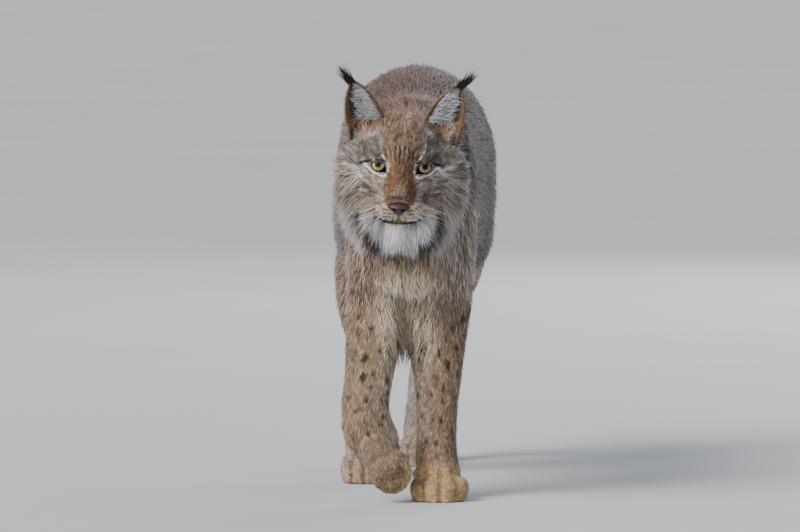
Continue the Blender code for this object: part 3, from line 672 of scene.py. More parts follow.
def body_skin():
    """Trunk and limbs fused, smoothed above the legs' lower parts, and the paws joined on."""
    masses = trunk_masses() + [
        limb(stations) for name, stations in LIMBS.items() if name != "trunk"
    ]
    made = blended(masses, "skin", BODY_VOXEL, 8)
    points = coords(made)
    share = np.minimum(np.minimum((points[:, 1] + 0.165) / 0.04, (points[:, 2] - 0.13) / 0.05), 1)
    smooth_where(made, np.clip(share, 0, 1), SOFT_SMOOTHING)
    let_in(made, body_depth(coords(made)))
    apply(made, "SMOOTH", factor=0.5, iterations=3)
    for name in PAWS:
        paw = blended(paw_masses(name), name, PAW_VOXEL, 5)
        let_in(paw, COAT_DEPTH["paw"] + TOE_GAP_DEPTH * toe_gaps(coords(paw)))
        combine(made, paw, "UNION")
    points = coords(made)
    points[:, 2] = np.maximum(points[:, 2], FLOOR_GAP)
    set_coords(made, points)
    return made


skin = body_skin()
print("body skin:", len(skin.data.polygons), "faces")

# %% [markdown]
# ## The head
# The skull, muzzle, jaw and cheeks are finer work, so the head is remeshed with smaller voxels
# and joined to the neck afterwards. The face's fur is only a few millimetres deep.

# %% Head masses
HEAD_VOXEL = 0.0020
BRIDGE = (
    (0.0, 0.020, 0.026, 0.028, 0.022),
    (0.0, -0.008, 0.014, 0.022, 0.020),
    (0.0, -0.032, -0.004, 0.021, 0.019),
    (0.0, -0.054, -0.021, 0.021, 0.017),
    (0.0, -0.068, -0.032, 0.017, 0.013),
)


# Balls in the head's own frame: place and half sizes in millimetres, and turn in degrees. The
# second table's balls stand on both sides.
HEAD_BALLS = (
    ((0, 60, 3), (67, 80, 53), (0, 0, 0)),
    ((0, 22, 17), (46, 42, 33), (-16, 0, 0)),
    ((0, -44, -49), (38, 37, 27), (0, 0, 0)),
    ((0, -48, -77), (21, 23, 14), (0, 0, 0)),
    ((0, 12, -62), (52, 60, 36), (0, 0, 0)),
)
PAIRED_BALLS = (
    ((18, -55, -52), (24, 23, 19.5), (0, -6, 14)),
    ((25, -30, -70), (25, 31, 21), (0, -8, 10)),
    ((23, -22, -22), (22, 30, 22), (-30, 0, 0)),
    ((30, 6, 18), (23, 17, 13), (0, -10, -12)),
    ((44, 3, -28), (28, 26, 22), (0, 0, -20)),
    ((55, 42, -36), (51, 54, 55), (0, -4, 0)),
    ((50, 56, -76), (38, 46, 38), (0, -24, 0)),
    ((60, 80, 12), (29, 28, 28), (0, 0, 0)),
    ((50, 8, -50), (28, 34, 28), (0, 0, 0)),
    ((35, 8, -80), (26, 34, 22), (0, 0, 0)),
)
NECK_BALL = ((-0.010, -0.150, 0.546), (0.074, 0.075, 0.072))
SOCKET_WALL = 0.0030


def head_masses():
    def mass(place, radii, turn, side=1):
        centre = (side * place[0] / 1000, place[1] / 1000, place[2] / 1000)
        turn = (turn[0], side * turn[1], side * turn[2])
        return ball(centre, [r / 1000 for r in radii], turn, HEAD, segments=32)

    masses = [mass(*row) for row in HEAD_BALLS]
    masses += [limb(BRIDGE, sides=20, within=HEAD), ball(*NECK_BALL)]
    for side in SIDES.values():
        masses += [mass(*row, side) for row in PAIRED_BALLS]
        eye = (side * EYE_SPACING / 2, 0, -EYE_DROP)
        masses.append(ball(eye, (EYE_RADIUS + SOCKET_WALL,) * 3, within=HEAD, segments=32))
    return masses


HEAD_BACK = np.array(HEAD.inverted())
MUZZLE_MIDDLE = np.array([0, -0.080, -0.035])


def head_points(points):
    """Places in the head's own frame: x to its left, y to its back and z up."""
    return local_places(points, HEAD_BACK)


def eye_distance(q, drop=EYE_DROP):
    """Distance to the nearer eye's middle, for places of the head's own frame."""
    mirrored = np.abs(q) * [1, 0, 0] + q * [0, 1, 1]
    return np.linalg.norm(mirrored - [EYE_SPACING / 2, 0, -drop], axis=1)


def head_turned(vectors):
    """Directions of the head's frame, turned into the body's."""
    return np.asarray(vectors) @ np.array(HEAD)[:3, :3].T


def face_depth(points):
    """Depth of the coat on the head, from the nose back to the cheeks and the nape."""
    q = head_points(points)
    away = np.linalg.norm(q - MUZZLE_MIDDLE, axis=1)
    depth = 0.0006 + 0.0034 * ramp(away, 0.030, 0.10)
    depth += 0.0060 * ramp(np.abs(q[:, 0]), 0.050, 0.085) * ramp(q[:, 2], 0.02, -0.03)
    depth += 0.0050 * ramp(q[:, 1], 0.03, 0.10)
    eye = eye_distance(q, 0.0)
    return np.where(eye < 0.026, np.minimum(depth, 0.0012 + 0.15 * np.maximum(eye - 0.018, 0)), depth)


def head_skin():
    made = blended(head_masses(), "head_skin", HEAD_VOXEL, 14)
    let_in(made, face_depth(coords(made)))
    apply(made, "SMOOTH", factor=0.5, iterations=2)
    return made


head = head_skin()
print("head skin:", len(head.data.polygons), "faces")

# %% [markdown]
# ## Eyes
# A cat's eye is a glossy ball, most of it hidden. What gives it its look is the almond between
# the lids: round the inner corner it drops into a dark tear line, and the upper lid cuts the top
# of the iris. The almond's points are given in the plane that faces the viewer, outwards and up.

# %% Eye openings
ALMOND = (
    (0.0135, 0.0030),
    (0.0098, 0.0055),
    (0.0016, 0.0064),
    (-0.0062, 0.0040),
    (-0.0108, -0.0040),
    (-0.0132, -0.0138),
    (-0.0070, -0.0128),
    (0.0010, -0.0112),
    (0.0080, -0.0078),
    (0.0122, -0.0026),
)
LID_WIDTH = 0.0012
CUTTER_SIDES = 48
CUTTER_BACK = 0.002
CUTTER_REACH = 0.06
SOCKET_GAP = 0.0004


def closed_curve(points, count):
    """A smooth closed line through a few points."""
    rows = [points[-1], *points, points[0], points[1]]
    steps = [1 + len(points) * k / count for k in range(count)]
    return np.array([catmull(rows, t) for t in steps])


def eye_plane(side, spots, ahead):
    """Places in front of an eye from outward and upward distances."""
    centre = eye_centre(side) + SIGHT * ahead
    return np.array([centre + FACE_X * side * u + FACE_UP * v for u, v in spots])


def almond_cutter(side):
    """A prism through the lids, along the viewer's line of sight."""
    bpy.ops.mesh.primitive_circle_add(vertices=CUTTER_SIDES, radius=1, fill_type="NGON")
    made = bpy.context.object
    set_coords(made, eye_plane(side, closed_curve(ALMOND, CUTTER_SIDES), CUTTER_BACK))
    push = {"TRANSFORM_OT_translate": {"value": SIGHT * CUTTER_REACH}}
    return edited(made, (bpy.ops.mesh.extrude_region_move, push))


def surface_tree(obj):
    obj.data.calc_loop_triangles()
    points = [v.co.copy() for v in obj.data.vertices]
    return BVHTree.FromPolygons(points, [tuple(t.vertices) for t in obj.data.loop_triangles])


def tube(name, points, radius, closed=False, taper=None):
    """A round strip along points, made from a curve with a bevel."""
    line = bpy.data.curves.new(name, "CURVE")
    line.dimensions = "3D"
    line.bevel_depth = radius
    line.bevel_resolution = 3
    line.use_fill_caps = not closed
    spline = line.splines.new("POLY")
    spline.points.add(len(points) - 1)
    for k, spot in enumerate(points):
        spline.points[k].co = (*spot, 1.0)
        if taper is not None:
            spline.points[k].radius = taper[k]
    spline.use_cyclic_u = closed
    made = bpy.data.objects.new(name, line)
    bpy.context.scene.collection.objects.link(made)
    choose(made)
    bpy.ops.object.convert(target="MESH")
    return bpy.context.object


lid_rims = []
face_tree = surface_tree(head)
for name, side in SIDES.items():
    rim = []
    for spot in eye_plane(side, closed_curve(ALMOND, 40), CUTTER_REACH):
        hit, normal, _, _ = face_tree.ray_cast(Vector(spot), -SIGHT)
        rim.append(hit - normal * LID_WIDTH * 0.4)
    lid_rims.append(tube("lid_rim", rim, LID_WIDTH, closed=True))
    combine(head, almond_cutter(side), "DIFFERENCE")
    combine(head, placed(ball(eye_centre(side), (EYE_RADIUS + SOCKET_GAP,) * 3)), "DIFFERENCE")
print("head with open eyes:", len(head.data.polygons), "faces")

# %% [markdown]
# ## Ears
# An ear is a cupped shell on a broad root. The shell is a grid laid on the cup's curve and given
# a wall, and then it is fused with head and body into one skin, so that no seam shows.

# %% Ear shells and the whole skin
EAR_BASE = Vector((0.0600, 0.066, 0.036))
EAR_TIP = Vector((0.0830, 0.052, 0.112))
EAR_ROWS = 18
EAR_COLUMNS = 16
EAR_ROOT = 0.030
EAR_WALL = 0.0026
EAR_BOW = math.radians(72)
EAR_TOP = 0.97
SKIN_LIMIT = 190000

EAR_AXIS = EAR_TIP - EAR_BASE
EAR_LENGTH = EAR_AXIS.length
EAR_RISE = EAR_AXIS.normalized()
EAR_OUT = Vector((0.93, -0.16, -0.28))
EAR_OUT = (EAR_OUT - EAR_RISE * EAR_OUT.dot(EAR_RISE)).normalized()
EAR_BACK = EAR_RISE.cross(EAR_OUT)


def ear_point(side, across, up):
    """A point of the cup: across runs from the inner edge at -1 to the outer edge at 1."""
    up = min(up, 0.999)
    half = EAR_WIDTH / 2 * (1.0 - up**1.9) ** 0.75 + 0.0012
    depth = 0.021 * (1.0 - up) ** 0.8 + 0.002
    angle = across * EAR_BOW
    spot = EAR_BASE + EAR_RISE * (EAR_LENGTH * up)
    spot += EAR_OUT * (half * math.sin(angle) / math.sin(EAR_BOW))
    spot += EAR_BACK * (depth * (math.cos(angle) - math.cos(EAR_BOW)))
    return HEAD @ Vector((side * spot.x, spot.y, spot.z))


def ear_shell(side):
    """One walled cup, with a first row sunk into the head."""
    root = HEAD.to_3x3() @ Vector((-side * 0.2, 0.1, -1.0)).normalized() * EAR_ROOT
    rows = []
    for r in range(-1, EAR_ROWS + 1):
        up = EAR_TOP * max(r, 0) / EAR_ROWS
        spots = [ear_point(side, 2 * c / EAR_COLUMNS - 1, up) for c in range(EAR_COLUMNS + 1)]
        rows.append([spot + root if r < 0 else spot for spot in spots])
    made = grid_piece(np.array(rows), "ear_shell")
    return edited(apply(made, "SOLIDIFY", thickness=EAR_WALL, offset=0.0))


for side in SIDES.values():
    combine(head, ear_shell(side), "UNION")
combine(skin, head, "UNION")
back = coords(skin)[:, 1]
smooth_where(skin, ramp(np.abs(back + 0.130), 0.075, 0.045) * ramp(back, -0.19, -0.17), 14)
skin.data.calc_loop_triangles()
apply(skin, "DECIMATE", ratio=min(1.0, SKIN_LIMIT / len(skin.data.loop_triangles)))
ordered(skin)
skin.name = "skin"
skin.data.calc_loop_triangles()
print("whole skin:", len(skin.data.loop_triangles), "triangles")

# %% [markdown]
# ## Colours
# The winter coat is grizzled: each tuft has a darker root, a pale band and a tip that may be
# dark or frosted. On top lie the markings that a lynx wears: small dark spots on the legs, faint
# ones on the flanks, streaks up the forehead, a tan bridge of the nose, white lips, chin and
# belly, pale crescents under the eyes, a black stripe in the ruff and a black tip of the tail.
# Everything is worked out from a place on the body, so skin and tufts always agree.

# %% Palette


def tone(red, green, blue):
    """A colour as a painter mixes it, from 0 to 255, made linear."""
    c = np.array([red, green, blue]) / 255.0
    return np.where(c <= 0.04045, c / 12.92, ((c + 0.055) / 1.055) ** 2.4)


GRIZZLED = tone(99, 88, 89)
RUFOUS = tone(112, 85, 74)
FLANK = tone(124, 116, 116)
LEG = tone(160, 136, 114)
LEG_PALE = tone(160, 158, 162)
CHEST = tone(240, 218, 190)
PAW = tone(220, 180, 134)
CREAM = tone(200, 184, 164)
WHITE = tone(244, 246, 250)
BEARD_WHITE = tone(198, 200, 206)
NAPE = tone(144, 108, 84)
FOREHEAD = tone(128, 106, 86)
CHEEK = tone(146, 134, 126)
BROW_GREY = tone(102, 95, 92)
FACE_GREY = tone(130, 115, 102)
FACE_PALE = tone(172, 158, 146)
UNDER_EYE = tone(180, 174, 178)
MUZZLE = tone(206, 190, 168)
LIP_EDGE = tone(198, 172, 118)
TAN = tone(119, 86, 60)
BRIDGE_DARK = tone(96, 74, 56)
DARK = tone(52, 37, 28)
BLACK = tone(22, 17, 16)
SPOT = tone(58, 42, 32)
EAR_INSIDE = tone(172, 174, 178)
EAR_HOLLOW = tone(66, 60, 62)
EAR_RIM = tone(138, 108, 80)
EAR_REAR = tone(112, 94, 82)
EAR_POCKET = tone(150, 108, 66)
EAR_FLUFF = tone(230, 231, 235)
RUFF_GREY = tone(200, 196, 196)
SHADED_SIDE_PAINTED_LIGHT = tone(184, 172, 164)

# %% Strokes of the face
# Points are millimetres outwards and upwards from the middle of the head, seen as the viewer
# sees them. A shape is an outline with a soft edge and keeps to the plane, as a band does. A
# line is laid on the face and keeps its width there.
CRESCENT = ((59, -2.5), (52.5, -8), (47.5, -12.8), (42, -16.2), (35, -19.6), (29, -21.8),
            (24, -20.5), (20.2, -13.5), (20.2, -6), (25, 2.5), (30, 11), (33.5, 19), (35, 27))
BEARD_SHAPE = ((-9, -97.5), (8, -97.5), (20, -96), (34, -90), (46, -85), (55, -87), (60, -94),
               (57, -105), (50, -121), (41, -135), (32, -146), (16, -148), (7, -141), (-2, -131),
               (-9, -129))
DARK_BAND = ((68, -90), (62, -101), (55, -116), (47, -131), (36, -145), (22, -154))
STROKES = (
    ("shape", ((-9, -6), (15, -6), (24, 2), (29, 14), (31, 28), (30, 46), (22, 62), (-9, 66)),
     5.0, FOREHEAD, 1.0),
    ("shape", ((34, 6), (50, 7), (70, 3), (84, 8), (80, 26), (66, 38), (50, 46), (36, 46), (33, 28)),
     6.0, BROW_GREY, 0.85),
    ("shape", ((38, 54), (48, 45), (64, 40), (76, 43), (70, 60), (44, 68)), 6.0, EAR_FLUFF, 0.50),
    ("shape", ((-9, 0), (12, 0), (18, -8), (22.5, -20), (25, -34), (24.5, -48), (22.5, -60),
               (16, -70), (-9, -70)), 3.0, TAN, 1.0),
    ("shape", ((-9, 2), (9, 2), (11, -8), (8.5, -24), (-9, -30)), 5.0, BRIDGE_DARK, 0.75),
    ("shape", ((-9, -28), (3, -31), (9, -40), (13, -52), (12, -62), (-9, -64)), 4.0, FACE_GREY, 0.85),
    ("shape", ((28, -25), (40, -27), (53, -31), (52, -44), (40, -56), (27, -62), (26, -44)),
     6.0, FACE_PALE, 0.65),
    ("shape", ((56, -8), (62, -5), (74, -7), (77, -18), (70, -27), (60, -23), (55, -14)),
     4.0, UNDER_EYE, 0.70),
    ("shape", ((8, -72), (24, -66), (38, -67), (45, -75), (42, -84), (30, -87), (16, -92), (2, -90)),
     4.0, MUZZLE, 0.80),
    ("shape", BEARD_SHAPE, 4.0, WHITE, 1.0),
    ("band", ((106, -28), (109, -50), (102, -76), (92, -100), (78, -118)), 5.0, WHITE, 0.45),
    ("band", DARK_BAND, 3.2, DARK, 0.85),
    ("line", ((24, -23), (25.4, -32), (25, -46), (22.5, -58), (19, -66)), 1.2, DARK, 0.55),
    ("line", ((35, 27), (34, 34), (35, 42)), 3.0, UNDER_EYE, 0.75),
    ("line", CRESCENT, 1.8, WHITE, 0.90),
    ("line", ((56, -10.5), (48, -17), (38, -22.5), (30, -25.8)), 1.6, TAN, 0.80),
    ("line", ((47, 4.5), (40, 6.6), (33, 6.2), (28, 4.5)), 2.2, TAN, 0.85),
    ("line", ((24, 1.0), (31, 3.2), (40, 3.6), (48, 3.0), (56, 1.2), (64, -1.5), (73, -4.0)),
     1.7, BLACK, 1.0),
    ("line", ((46, 2.8), (52, 1.2), (58, -0.5)), 2.2, BLACK, 0.95),
    ("line", ((56, 0.8), (64, -2.0), (72, -4.2)), 2.8, BLACK, 1.0),
    ("line", ((73, -4.5), (78, -11), (78, -19)), 2.4, DARK, 0.65),
    ("line", ((38, 11), (44, 12)), 1.8, DARK, 0.60),
    ("line", ((38, 21), (43, 24)), 1.8, DARK, 0.50),
    ("line", ((24.5, 5), (27, 12), (29, 18)), 1.7, TAN, 0.80),
    ("line", ((21.8, -8.5), (20.8, -14), (21.5, -18.5)), 1.3, BLACK, 0.85),
    ("line", ((3, 0), (4.2, 10), (3.4, 20), (5.0, 31)), 2.0, DARK, 0.95),
    ("line", ((9, 4), (11.3, 14), (10.5, 24), (12.5, 36)), 2.0, DARK, 0.92),
    ("line", ((15.5, 3), (17.8, 11), (18.8, 20)), 1.8, DARK, 0.88),
    ("line", ((19.5, 24), (21, 33), (20, 42)), 1.8, DARK, 0.75),
    ("line", ((23.5, 8), (26, 16), (27, 24)), 1.6, DARK, 0.75),
    ("line", ((6, 38), (7, 50)), 1.9, DARK, 0.70),
    ("line", ((14, 40), (15.5, 52)), 1.9, DARK, 0.65),
    ("line", ((27.4, -68.6), (33.5, -64.6), (40.4, -61.5)), 1.4, DARK, 0.80),
    ("line", ((15, -74.5), (24, -72.4), (37.7, -70.0)), 1.3, DARK, 0.85),
    ("line", ((13.5, -79.3), (22, -78.6), (36, -76.6)), 1.3, DARK, 0.85),
    ("line", ((12, -84), (22, -84), (33, -81)), 1.2, DARK, 0.75),
    ("line", ((18, -91.8), (25, -90.2), (31, -87.2)), 3.4, BLACK, 0.95),
    ("line", ((0, -93.2), (8, -93.6), (14, -92.4)), 1.7, DARK, 0.90),
    ("line", ((0, -97), (7, -97.4), (15, -95.6)), 1.5, LIP_EDGE, 0.85),
    ("line", ((60, -36), (66, -38), (71, -36)), 2.2, DARK, 0.55),
    ("line", ((40, -38), (48, -41), (55, -41)), 1.8, DARK, 0.35),
    ("line", ((50, -60), (60, -64), (70, -63)), 2.2, DARK, 0.40),
    ("line", ((76, -44), (82, -54), (84, -64)), 2.6, DARK, 0.40),
    ("line", ((66, -76), (74, -84), (78, -92)), 2.6, DARK, 0.40),
    ("line", ((84, -24), (90, -34)), 2.4, DARK, 0.35),
)


LIP_LINE = ((0, -80), (0, -88), (7, -90.2), (15, -92.4), (23, -91.2), (30, -87.8))
NUDGES = (0.0, 0.05, -0.05, 0.3)


def drift(v):
    """The head looks a little aside, so jaw and ruff sit this far to its left, in millimetres."""
    return 9.0 * ramp(v, -84, -124)


def face_start(side, u, v):
    """A place well in front of the face, from millimetres outwards and upwards."""
    across = side * u + float(drift(v))
    return HEAD_PLACE + FACE_X * (across / 1000) + FACE_UP * (v / 1000) + SIGHT * 0.5


def face_hit(side, u, v):
    """Place and normal of the face behind one point of the plane, or None beside the face."""
    for nudge in NUDGES:
        start = face_start(side, float(u) + nudge, float(v) + nudge)
        hit, normal, _, _ = face_tree.ray_cast(start, -SIGHT)
        if hit is not None:
            return hit, normal
    return None


def face_line(line, side):
    """The places on the face under a line of the plane."""
    hits = [face_hit(side, u, v) for u, v in line]
    return [np.array(h[0]) for h in hits if h is not None]


def plane_places(points):
    """Outwards and upwards in the viewer's plane, in millimetres, with the side's sign lost."""
    offset = (points - np.array(HEAD_PLACE)) * 1000
    high = offset @ np.array(FACE_UP)
    return np.stack([np.abs(offset @ np.array(FACE_X) - drift(high)), high], 1)


def inside(places, outline):
    """Distance to a closed outline, positive inside it."""
    closed = [*outline, outline[0]]
    x, y = places.T
    odd = np.zeros(len(places), bool)
    for (x0, y0), (x1, y1) in zip(closed, closed[1:]):
        odd ^= ((y0 > y) != (y1 > y)) & (x < (x1 - x0) * (y - y0) / (y1 - y0 + 1e-12) + x0)
    far = line_distance(places, closed)
    return np.where(odd, far, -far)


LAID_STROKES = [
    [face_line(line, side) for side in SIDES.values()] if kind == "line" else None
    for kind, line, _, _, _ in STROKES
]


def line_distance(points, line):
    """Distance from each point to a line through a few places."""
    best = np.full(len(points), 1e9)
    for a, b in zip(line, line[1:]):
        a, b = np.array(a), np.array(b)
        t = np.clip((points - a) @ (b - a) / ((b - a) @ (b - a) + 1e-12), 0, 1)
        best = np.minimum(best, np.linalg.norm(points - a - t[:, None] * (b - a), axis=1))
    return best


def filled(values, rows):
    """The same values once for each row."""
    return np.repeat(values[None], len(rows), 0)


def mix(base, colour, share):
    """Goes from the base to the colour by a share for each row."""
    return base + (np.asarray(colour) - base) * np.asarray(share)[:, None]


# %% Spots
SPOT_COUNT = 9000
SPOT_SEED = 5
SPOTS_LEFT_OUT = 0.36
SPOT_GAP = 0.034
SPOT_RADIUS = 0.0074
SPOT_STRENGTH = 0.34
SPOT_LENGTH = 1.35


def triangles(obj):
    """Corners of the triangles that an object is drawn with."""
    obj.data.calc_loop_triangles()
    return read(obj.data.loop_triangles, "vertices", 3, int)


SKIN_POINTS = coords(skin)
SKIN_NORMALS = vertex_normals(skin)
SKIN_TRIANGLES = triangles(skin)
first, second, third = (SKIN_POINTS[SKIN_TRIANGLES[:, k]] for k in range(3))
SKIN_AREAS = 0.5 * np.linalg.norm(np.cross(second - first, third - first), axis=1)
SKIN_MIDDLES = SKIN_POINTS[SKIN_TRIANGLES].mean(1)
print("skin area: %.3f square metres" % SKIN_AREAS.sum())


def scatter(density, seed):
    """Roots spread evenly over the skin. The density is in roots for each square metre."""
    draw = np.random.default_rng(seed)
    expected = np.cumsum(SKIN_AREAS * density)
    count = int(expected[-1])
    marks = (np.arange(count) + draw.random(count)) * (expected[-1] / max(count, 1))
    chosen = np.minimum(np.searchsorted(expected, marks), len(SKIN_TRIANGLES) - 1)
    a, b = draw.random(count), draw.random(count)
    flip = a + b > 1
    a[flip], b[flip] = 1 - a[flip], 1 - b[flip]
    share = np.stack([1 - a - b, a, b], 1)[..., None]
    corners = SKIN_TRIANGLES[chosen]
    points = (SKIN_POINTS[corners] * share).sum(1)
    return points, unit((SKIN_NORMALS[corners] * share).sum(1), 1e-12)


def head_share(points):
    """1 on the head and 0 on the neck, across a soft band."""
    return ramp(points[:, 1] - 0.10 * (points[:, 2] - 0.5), -0.150, -0.178)


def spot_places():
    """Centres of the spots, kept apart from each other, with a radius and a strength."""
    points, _ = scatter(np.full(len(SKIN_AREAS), SPOT_COUNT), SPOT_SEED)
    points = points[np.random.default_rng(SPOT_SEED).permutation(len(points))]
    legs = legs_share(softest(nearness(points)))
    low = ramp(points[:, 2], 0.50, 0.34) * legs
    wrist = ramp(points[:, 2], 0.22, 0.12) * legs
    apart = SPOT_GAP - 0.015 * low - 0.007 * wrist
    tree = tree_of(points)
    dropped = np.zeros(len(points), bool)
    kept = []
    for i, p in enumerate(points):
        if dropped[i]:
            continue
        kept.append(i)
        for _, j, _ in tree.find_range(p, float(apart[i])):
            if j != i:
                dropped[j] = True
    rng = np.random.default_rng(SPOT_SEED + 1)
    kept = np.array(kept)
    kept = kept[rng.random(len(kept)) > SPOTS_LEFT_OUT - 0.16 * low[kept]]
    radius = SPOT_RADIUS - 0.0024 * low[kept] - 0.0016 * wrist[kept]
    radius = radius * rng.uniform(0.65, 1.35, len(kept))
    strength = (SPOT_STRENGTH + 0.60 * low[kept]) * rng.uniform(0.60, 1.05, len(kept))
    return points[kept], radius, strength


SPOTS = spot_places()
SPOT_TREE = tree_of(SPOTS[0])
print("spots:", len(SPOTS[0]))


def spot_mask(points, flow):
    """How dark the nearest spot is at each point. Spots are longer along the coat."""
    nearest = np.array([SPOT_TREE.find(p)[1] for p in points])
    offset = points - SPOTS[0][nearest]
    along = (offset * flow).sum(1)
    side = np.sqrt(np.maximum((offset**2).sum(1) - along**2, 0))
    far = np.sqrt((along / SPOT_LENGTH) ** 2 + side**2) / SPOTS[1][nearest]
    far = far * (1 + 0.28 * waves(points, 0.008, 6))
    return SPOTS[2][nearest] * ramp(far, 1.35, 0.60)


def waves(points, size, seed):
    """Smooth noise from -1 to 1, made of a few waves of about this size."""
    rng = np.random.default_rng(seed)
    total = np.zeros(len(points))
    for _ in range(7):
        direction = rng.normal(size=3)
        direction *= 2 * np.pi / size * rng.uniform(0.6, 1.5) / np.linalg.norm(direction)
        total += np.sin(points @ direction + rng.uniform(0, 2 * np.pi))
    return total / 3.0


# %% The lie of the coat
FAN_MIDDLE = np.array([0, -0.088, -0.030])


def tangent(vectors, normals):
    """Directions laid down on the surface, at length 1."""
    return unit(vectors - normals * (vectors * normals).sum(1)[:, None], 1e-9)


def lie_and_parts(points, normals):
    """Which way the coat lies at each point, and the shares of the body's parts."""
    found = nearness(points)
    weights = softest(found)
    on_head = head_share(points)
    flow = np.zeros_like(points)
    for name, weight in weights.items():
        along = found[name][1].copy()
        if name == "trunk":
            along = np.array([0, 1.0, 0]) + np.array([0, 0, -0.55]) * np.abs(normals[:, :1])
            along = along + np.array([0, -0.8, -1.4]) * ramp(normals[:, 1], -0.25, -0.7)[:, None]
            along = along + np.array([0, 0.0, -1.2]) * ramp(normals[:, 1], 0.3, 0.8)[:, None]
        elif name == "neck":
            front = ramp(normals[:, 2], 0.1, -0.5)[:, None]
            along = np.array([0, 1.0, -0.25]) * (1 - front) + np.array([0, 0.25, -1.0]) * front
        flow += along * weight[:, None]
    q = head_points(points)
    fan = unit(q - FAN_MIDDLE)
    cheek = ramp(np.abs(q[:, 0]), 0.040, 0.075) * ramp(q[:, 2], 0.03, -0.03)
    throat = ramp(q[:, 2], -0.075, -0.10)
    fan += np.array([0, 0.25, -0.75]) * cheek[:, None] + np.array([0, 0.5, -0.9]) * throat[:, None]
    flow = flow * (1 - on_head[:, None]) + head_turned(fan) * on_head[:, None]
    paws = paw_share(points) * (1 - on_head)
    toes = np.zeros_like(points)
    near = np.full(len(points), 1e9)
    for name, (place, direction, _, _) in PAWS.items():
        gap = np.linalg.norm(points - np.array(place), axis=1)
        closer = gap < near
        near[closer] = gap[closer]
        toes[closer] = np.array(Vector(direction).normalized())
    toes += np.array([0, 0, -0.5])
    flow = flow * (1 - paws[:, None]) + toes * paws[:, None]
    return tangent(flow, normals), weights, on_head, paws, q


def coat_tone(points, normals, flow, weights, on_head, paws, q):
    """The coat's colour at each point, without the change from root to tip."""
    legs = legs_share(weights)
    hind = weights["hindleg_r"] + weights["hindleg_l"]
    trunk = (1 - legs) * (1 - on_head)
    up = normals[:, 2]
    colour = filled(GRIZZLED, points)
    # Back, flanks and nape.
    colour = mix(colour, RUFOUS, ramp(up, 0.35, 0.9) * 0.6)
    colour = mix(colour, FLANK, ramp(np.abs(normals[:, 0]), 0.5, 0.95) * 0.8)
    colour = mix(colour, NAPE, weights["neck"] * ramp(up, 0.2, 0.8) * 0.8)
    # Legs, with the forequarters and thighs that share their colour.
    ahead = ramp(points[:, 1], 0.10, -0.02)
    thigh = 0.8 * ramp(points[:, 1], 0.30, 0.38) * ramp(points[:, 2], 0.44, 0.30)
    tan = np.maximum(np.maximum(legs, 0.7 * ahead), thigh)
    colour = mix(colour, LEG, tan * ramp(points[:, 2], 0.52, 0.36))
    # Painted light: the front of the shoulder on the animal's left, which the light leaves in shade,
    # is lightened towards a pale grey.
    shoulder = ramp(points[:, 0], 0.035, 0.070) * ramp(points[:, 2], 0.29, 0.34)
    shoulder *= ramp(points[:, 2], 0.50, 0.45) * ahead
    colour = mix(colour, SHADED_SIDE_PAINTED_LIGHT, shoulder * 0.65)
    # Belly, breast and the inner sides of the legs.
    colour = mix(colour, CREAM, ramp(up, -0.30, -0.75) * trunk)
    breast = ramp(normals[:, 1], -0.15, -0.75) * ramp(points[:, 2], 0.40, 0.35)
    breast *= ramp(np.abs(points[:, 0] + 0.006), 0.066, 0.024) * ramp(points[:, 2], 0.20, 0.27)
    colour = mix(colour, CHEST, breast * (1 - on_head) * 0.9)
    inner = np.where(points[:, 0] > -0.010, -normals[:, 0], normals[:, 0])
    colour = mix(colour, CREAM, legs * ramp(inner, 0.2, 0.8) * ramp(points[:, 2], 0.06, 0.12) * 0.65)
    pale = hind * ramp(np.maximum(inner, -normals[:, 1]), 0.05, 0.6) * ramp(points[:, 2], 0.36, 0.26)
    # Paws. The lifted one is darker and flecked.
    tan = paw_share(points, 0.066, -0.006) * (1 - on_head)
    raised = ramp(points[:, 0], -0.004, -0.016) * ramp(points[:, 1], 0.0, -0.03)
    colour = mix(colour, PAW, tan * (0.88 - 0.58 * raised))
    flecks = ramp(waves(points, 0.0065, 14), -0.4, 0.9)
    colour = mix(colour, DARK, tan * raised * (0.08 + 0.40 * flecks))
    colour = mix(colour, LEG_PALE, np.maximum(pale, hind * paws * 0.8) * 0.62)
    # Painted shade: the gaps between the toes are darkened.
    colour = mix(colour, DARK, toe_gaps(points) * paws * 0.42)
    # Flecks, spots and the tip of the tail.
    long_way = points * [1.0, 0.40, 1.0]
    leg_way = points * [1.0, 1.0, 0.42]
    fleck = waves(long_way, 0.016, 4) * (1 - legs) * 0.10 + waves(leg_way, 0.011, 7) * legs * 0.20
    fleck += waves(leg_way, 0.0055, 10) * legs * 0.20 + 0.09 * waves(points, 0.060, 3)
    colour = colour * np.clip(1 + fleck * (1 - 0.5 * paws), 0.4, 1.6)[:, None]
    plain = ramp(up, -0.15, -0.45) * (1 - legs)
    spots = spot_mask(points, flow) * (1 - plain) * (1 - on_head) * (1 - 0.75 * paws)
    spots *= (1 - weights["neck"] * 0.7) * (1 - 0.8 * pale)
    colour = mix(colour, SPOT, spots)
    tip = ramp(points[:, 2], 0.520, 0.490) * ramp(points[:, 1], 0.74, 0.75) * weights["tail"]
    colour = mix(colour, BLACK, tip)
    return mix(colour, head_tone(points, normals, q), on_head)


def ear_places(q):
    """Share of the ear's height, distance outwards, and how far a place belongs to an ear."""
    mirrored = q.copy()
    mirrored[:, 0] = np.abs(q[:, 0])
    offset = mirrored - np.array(EAR_BASE)
    up = offset @ np.array(EAR_RISE) / EAR_LENGTH
    out = offset @ np.array(EAR_OUT) / (EAR_WIDTH / 2)
    back = offset @ np.array(EAR_BACK)
    share = ramp(up, 0.02, 0.14) * ramp(np.abs(out), 1.45, 1.20) * ramp(np.abs(back), 0.050, 0.040)
    return up, out, share


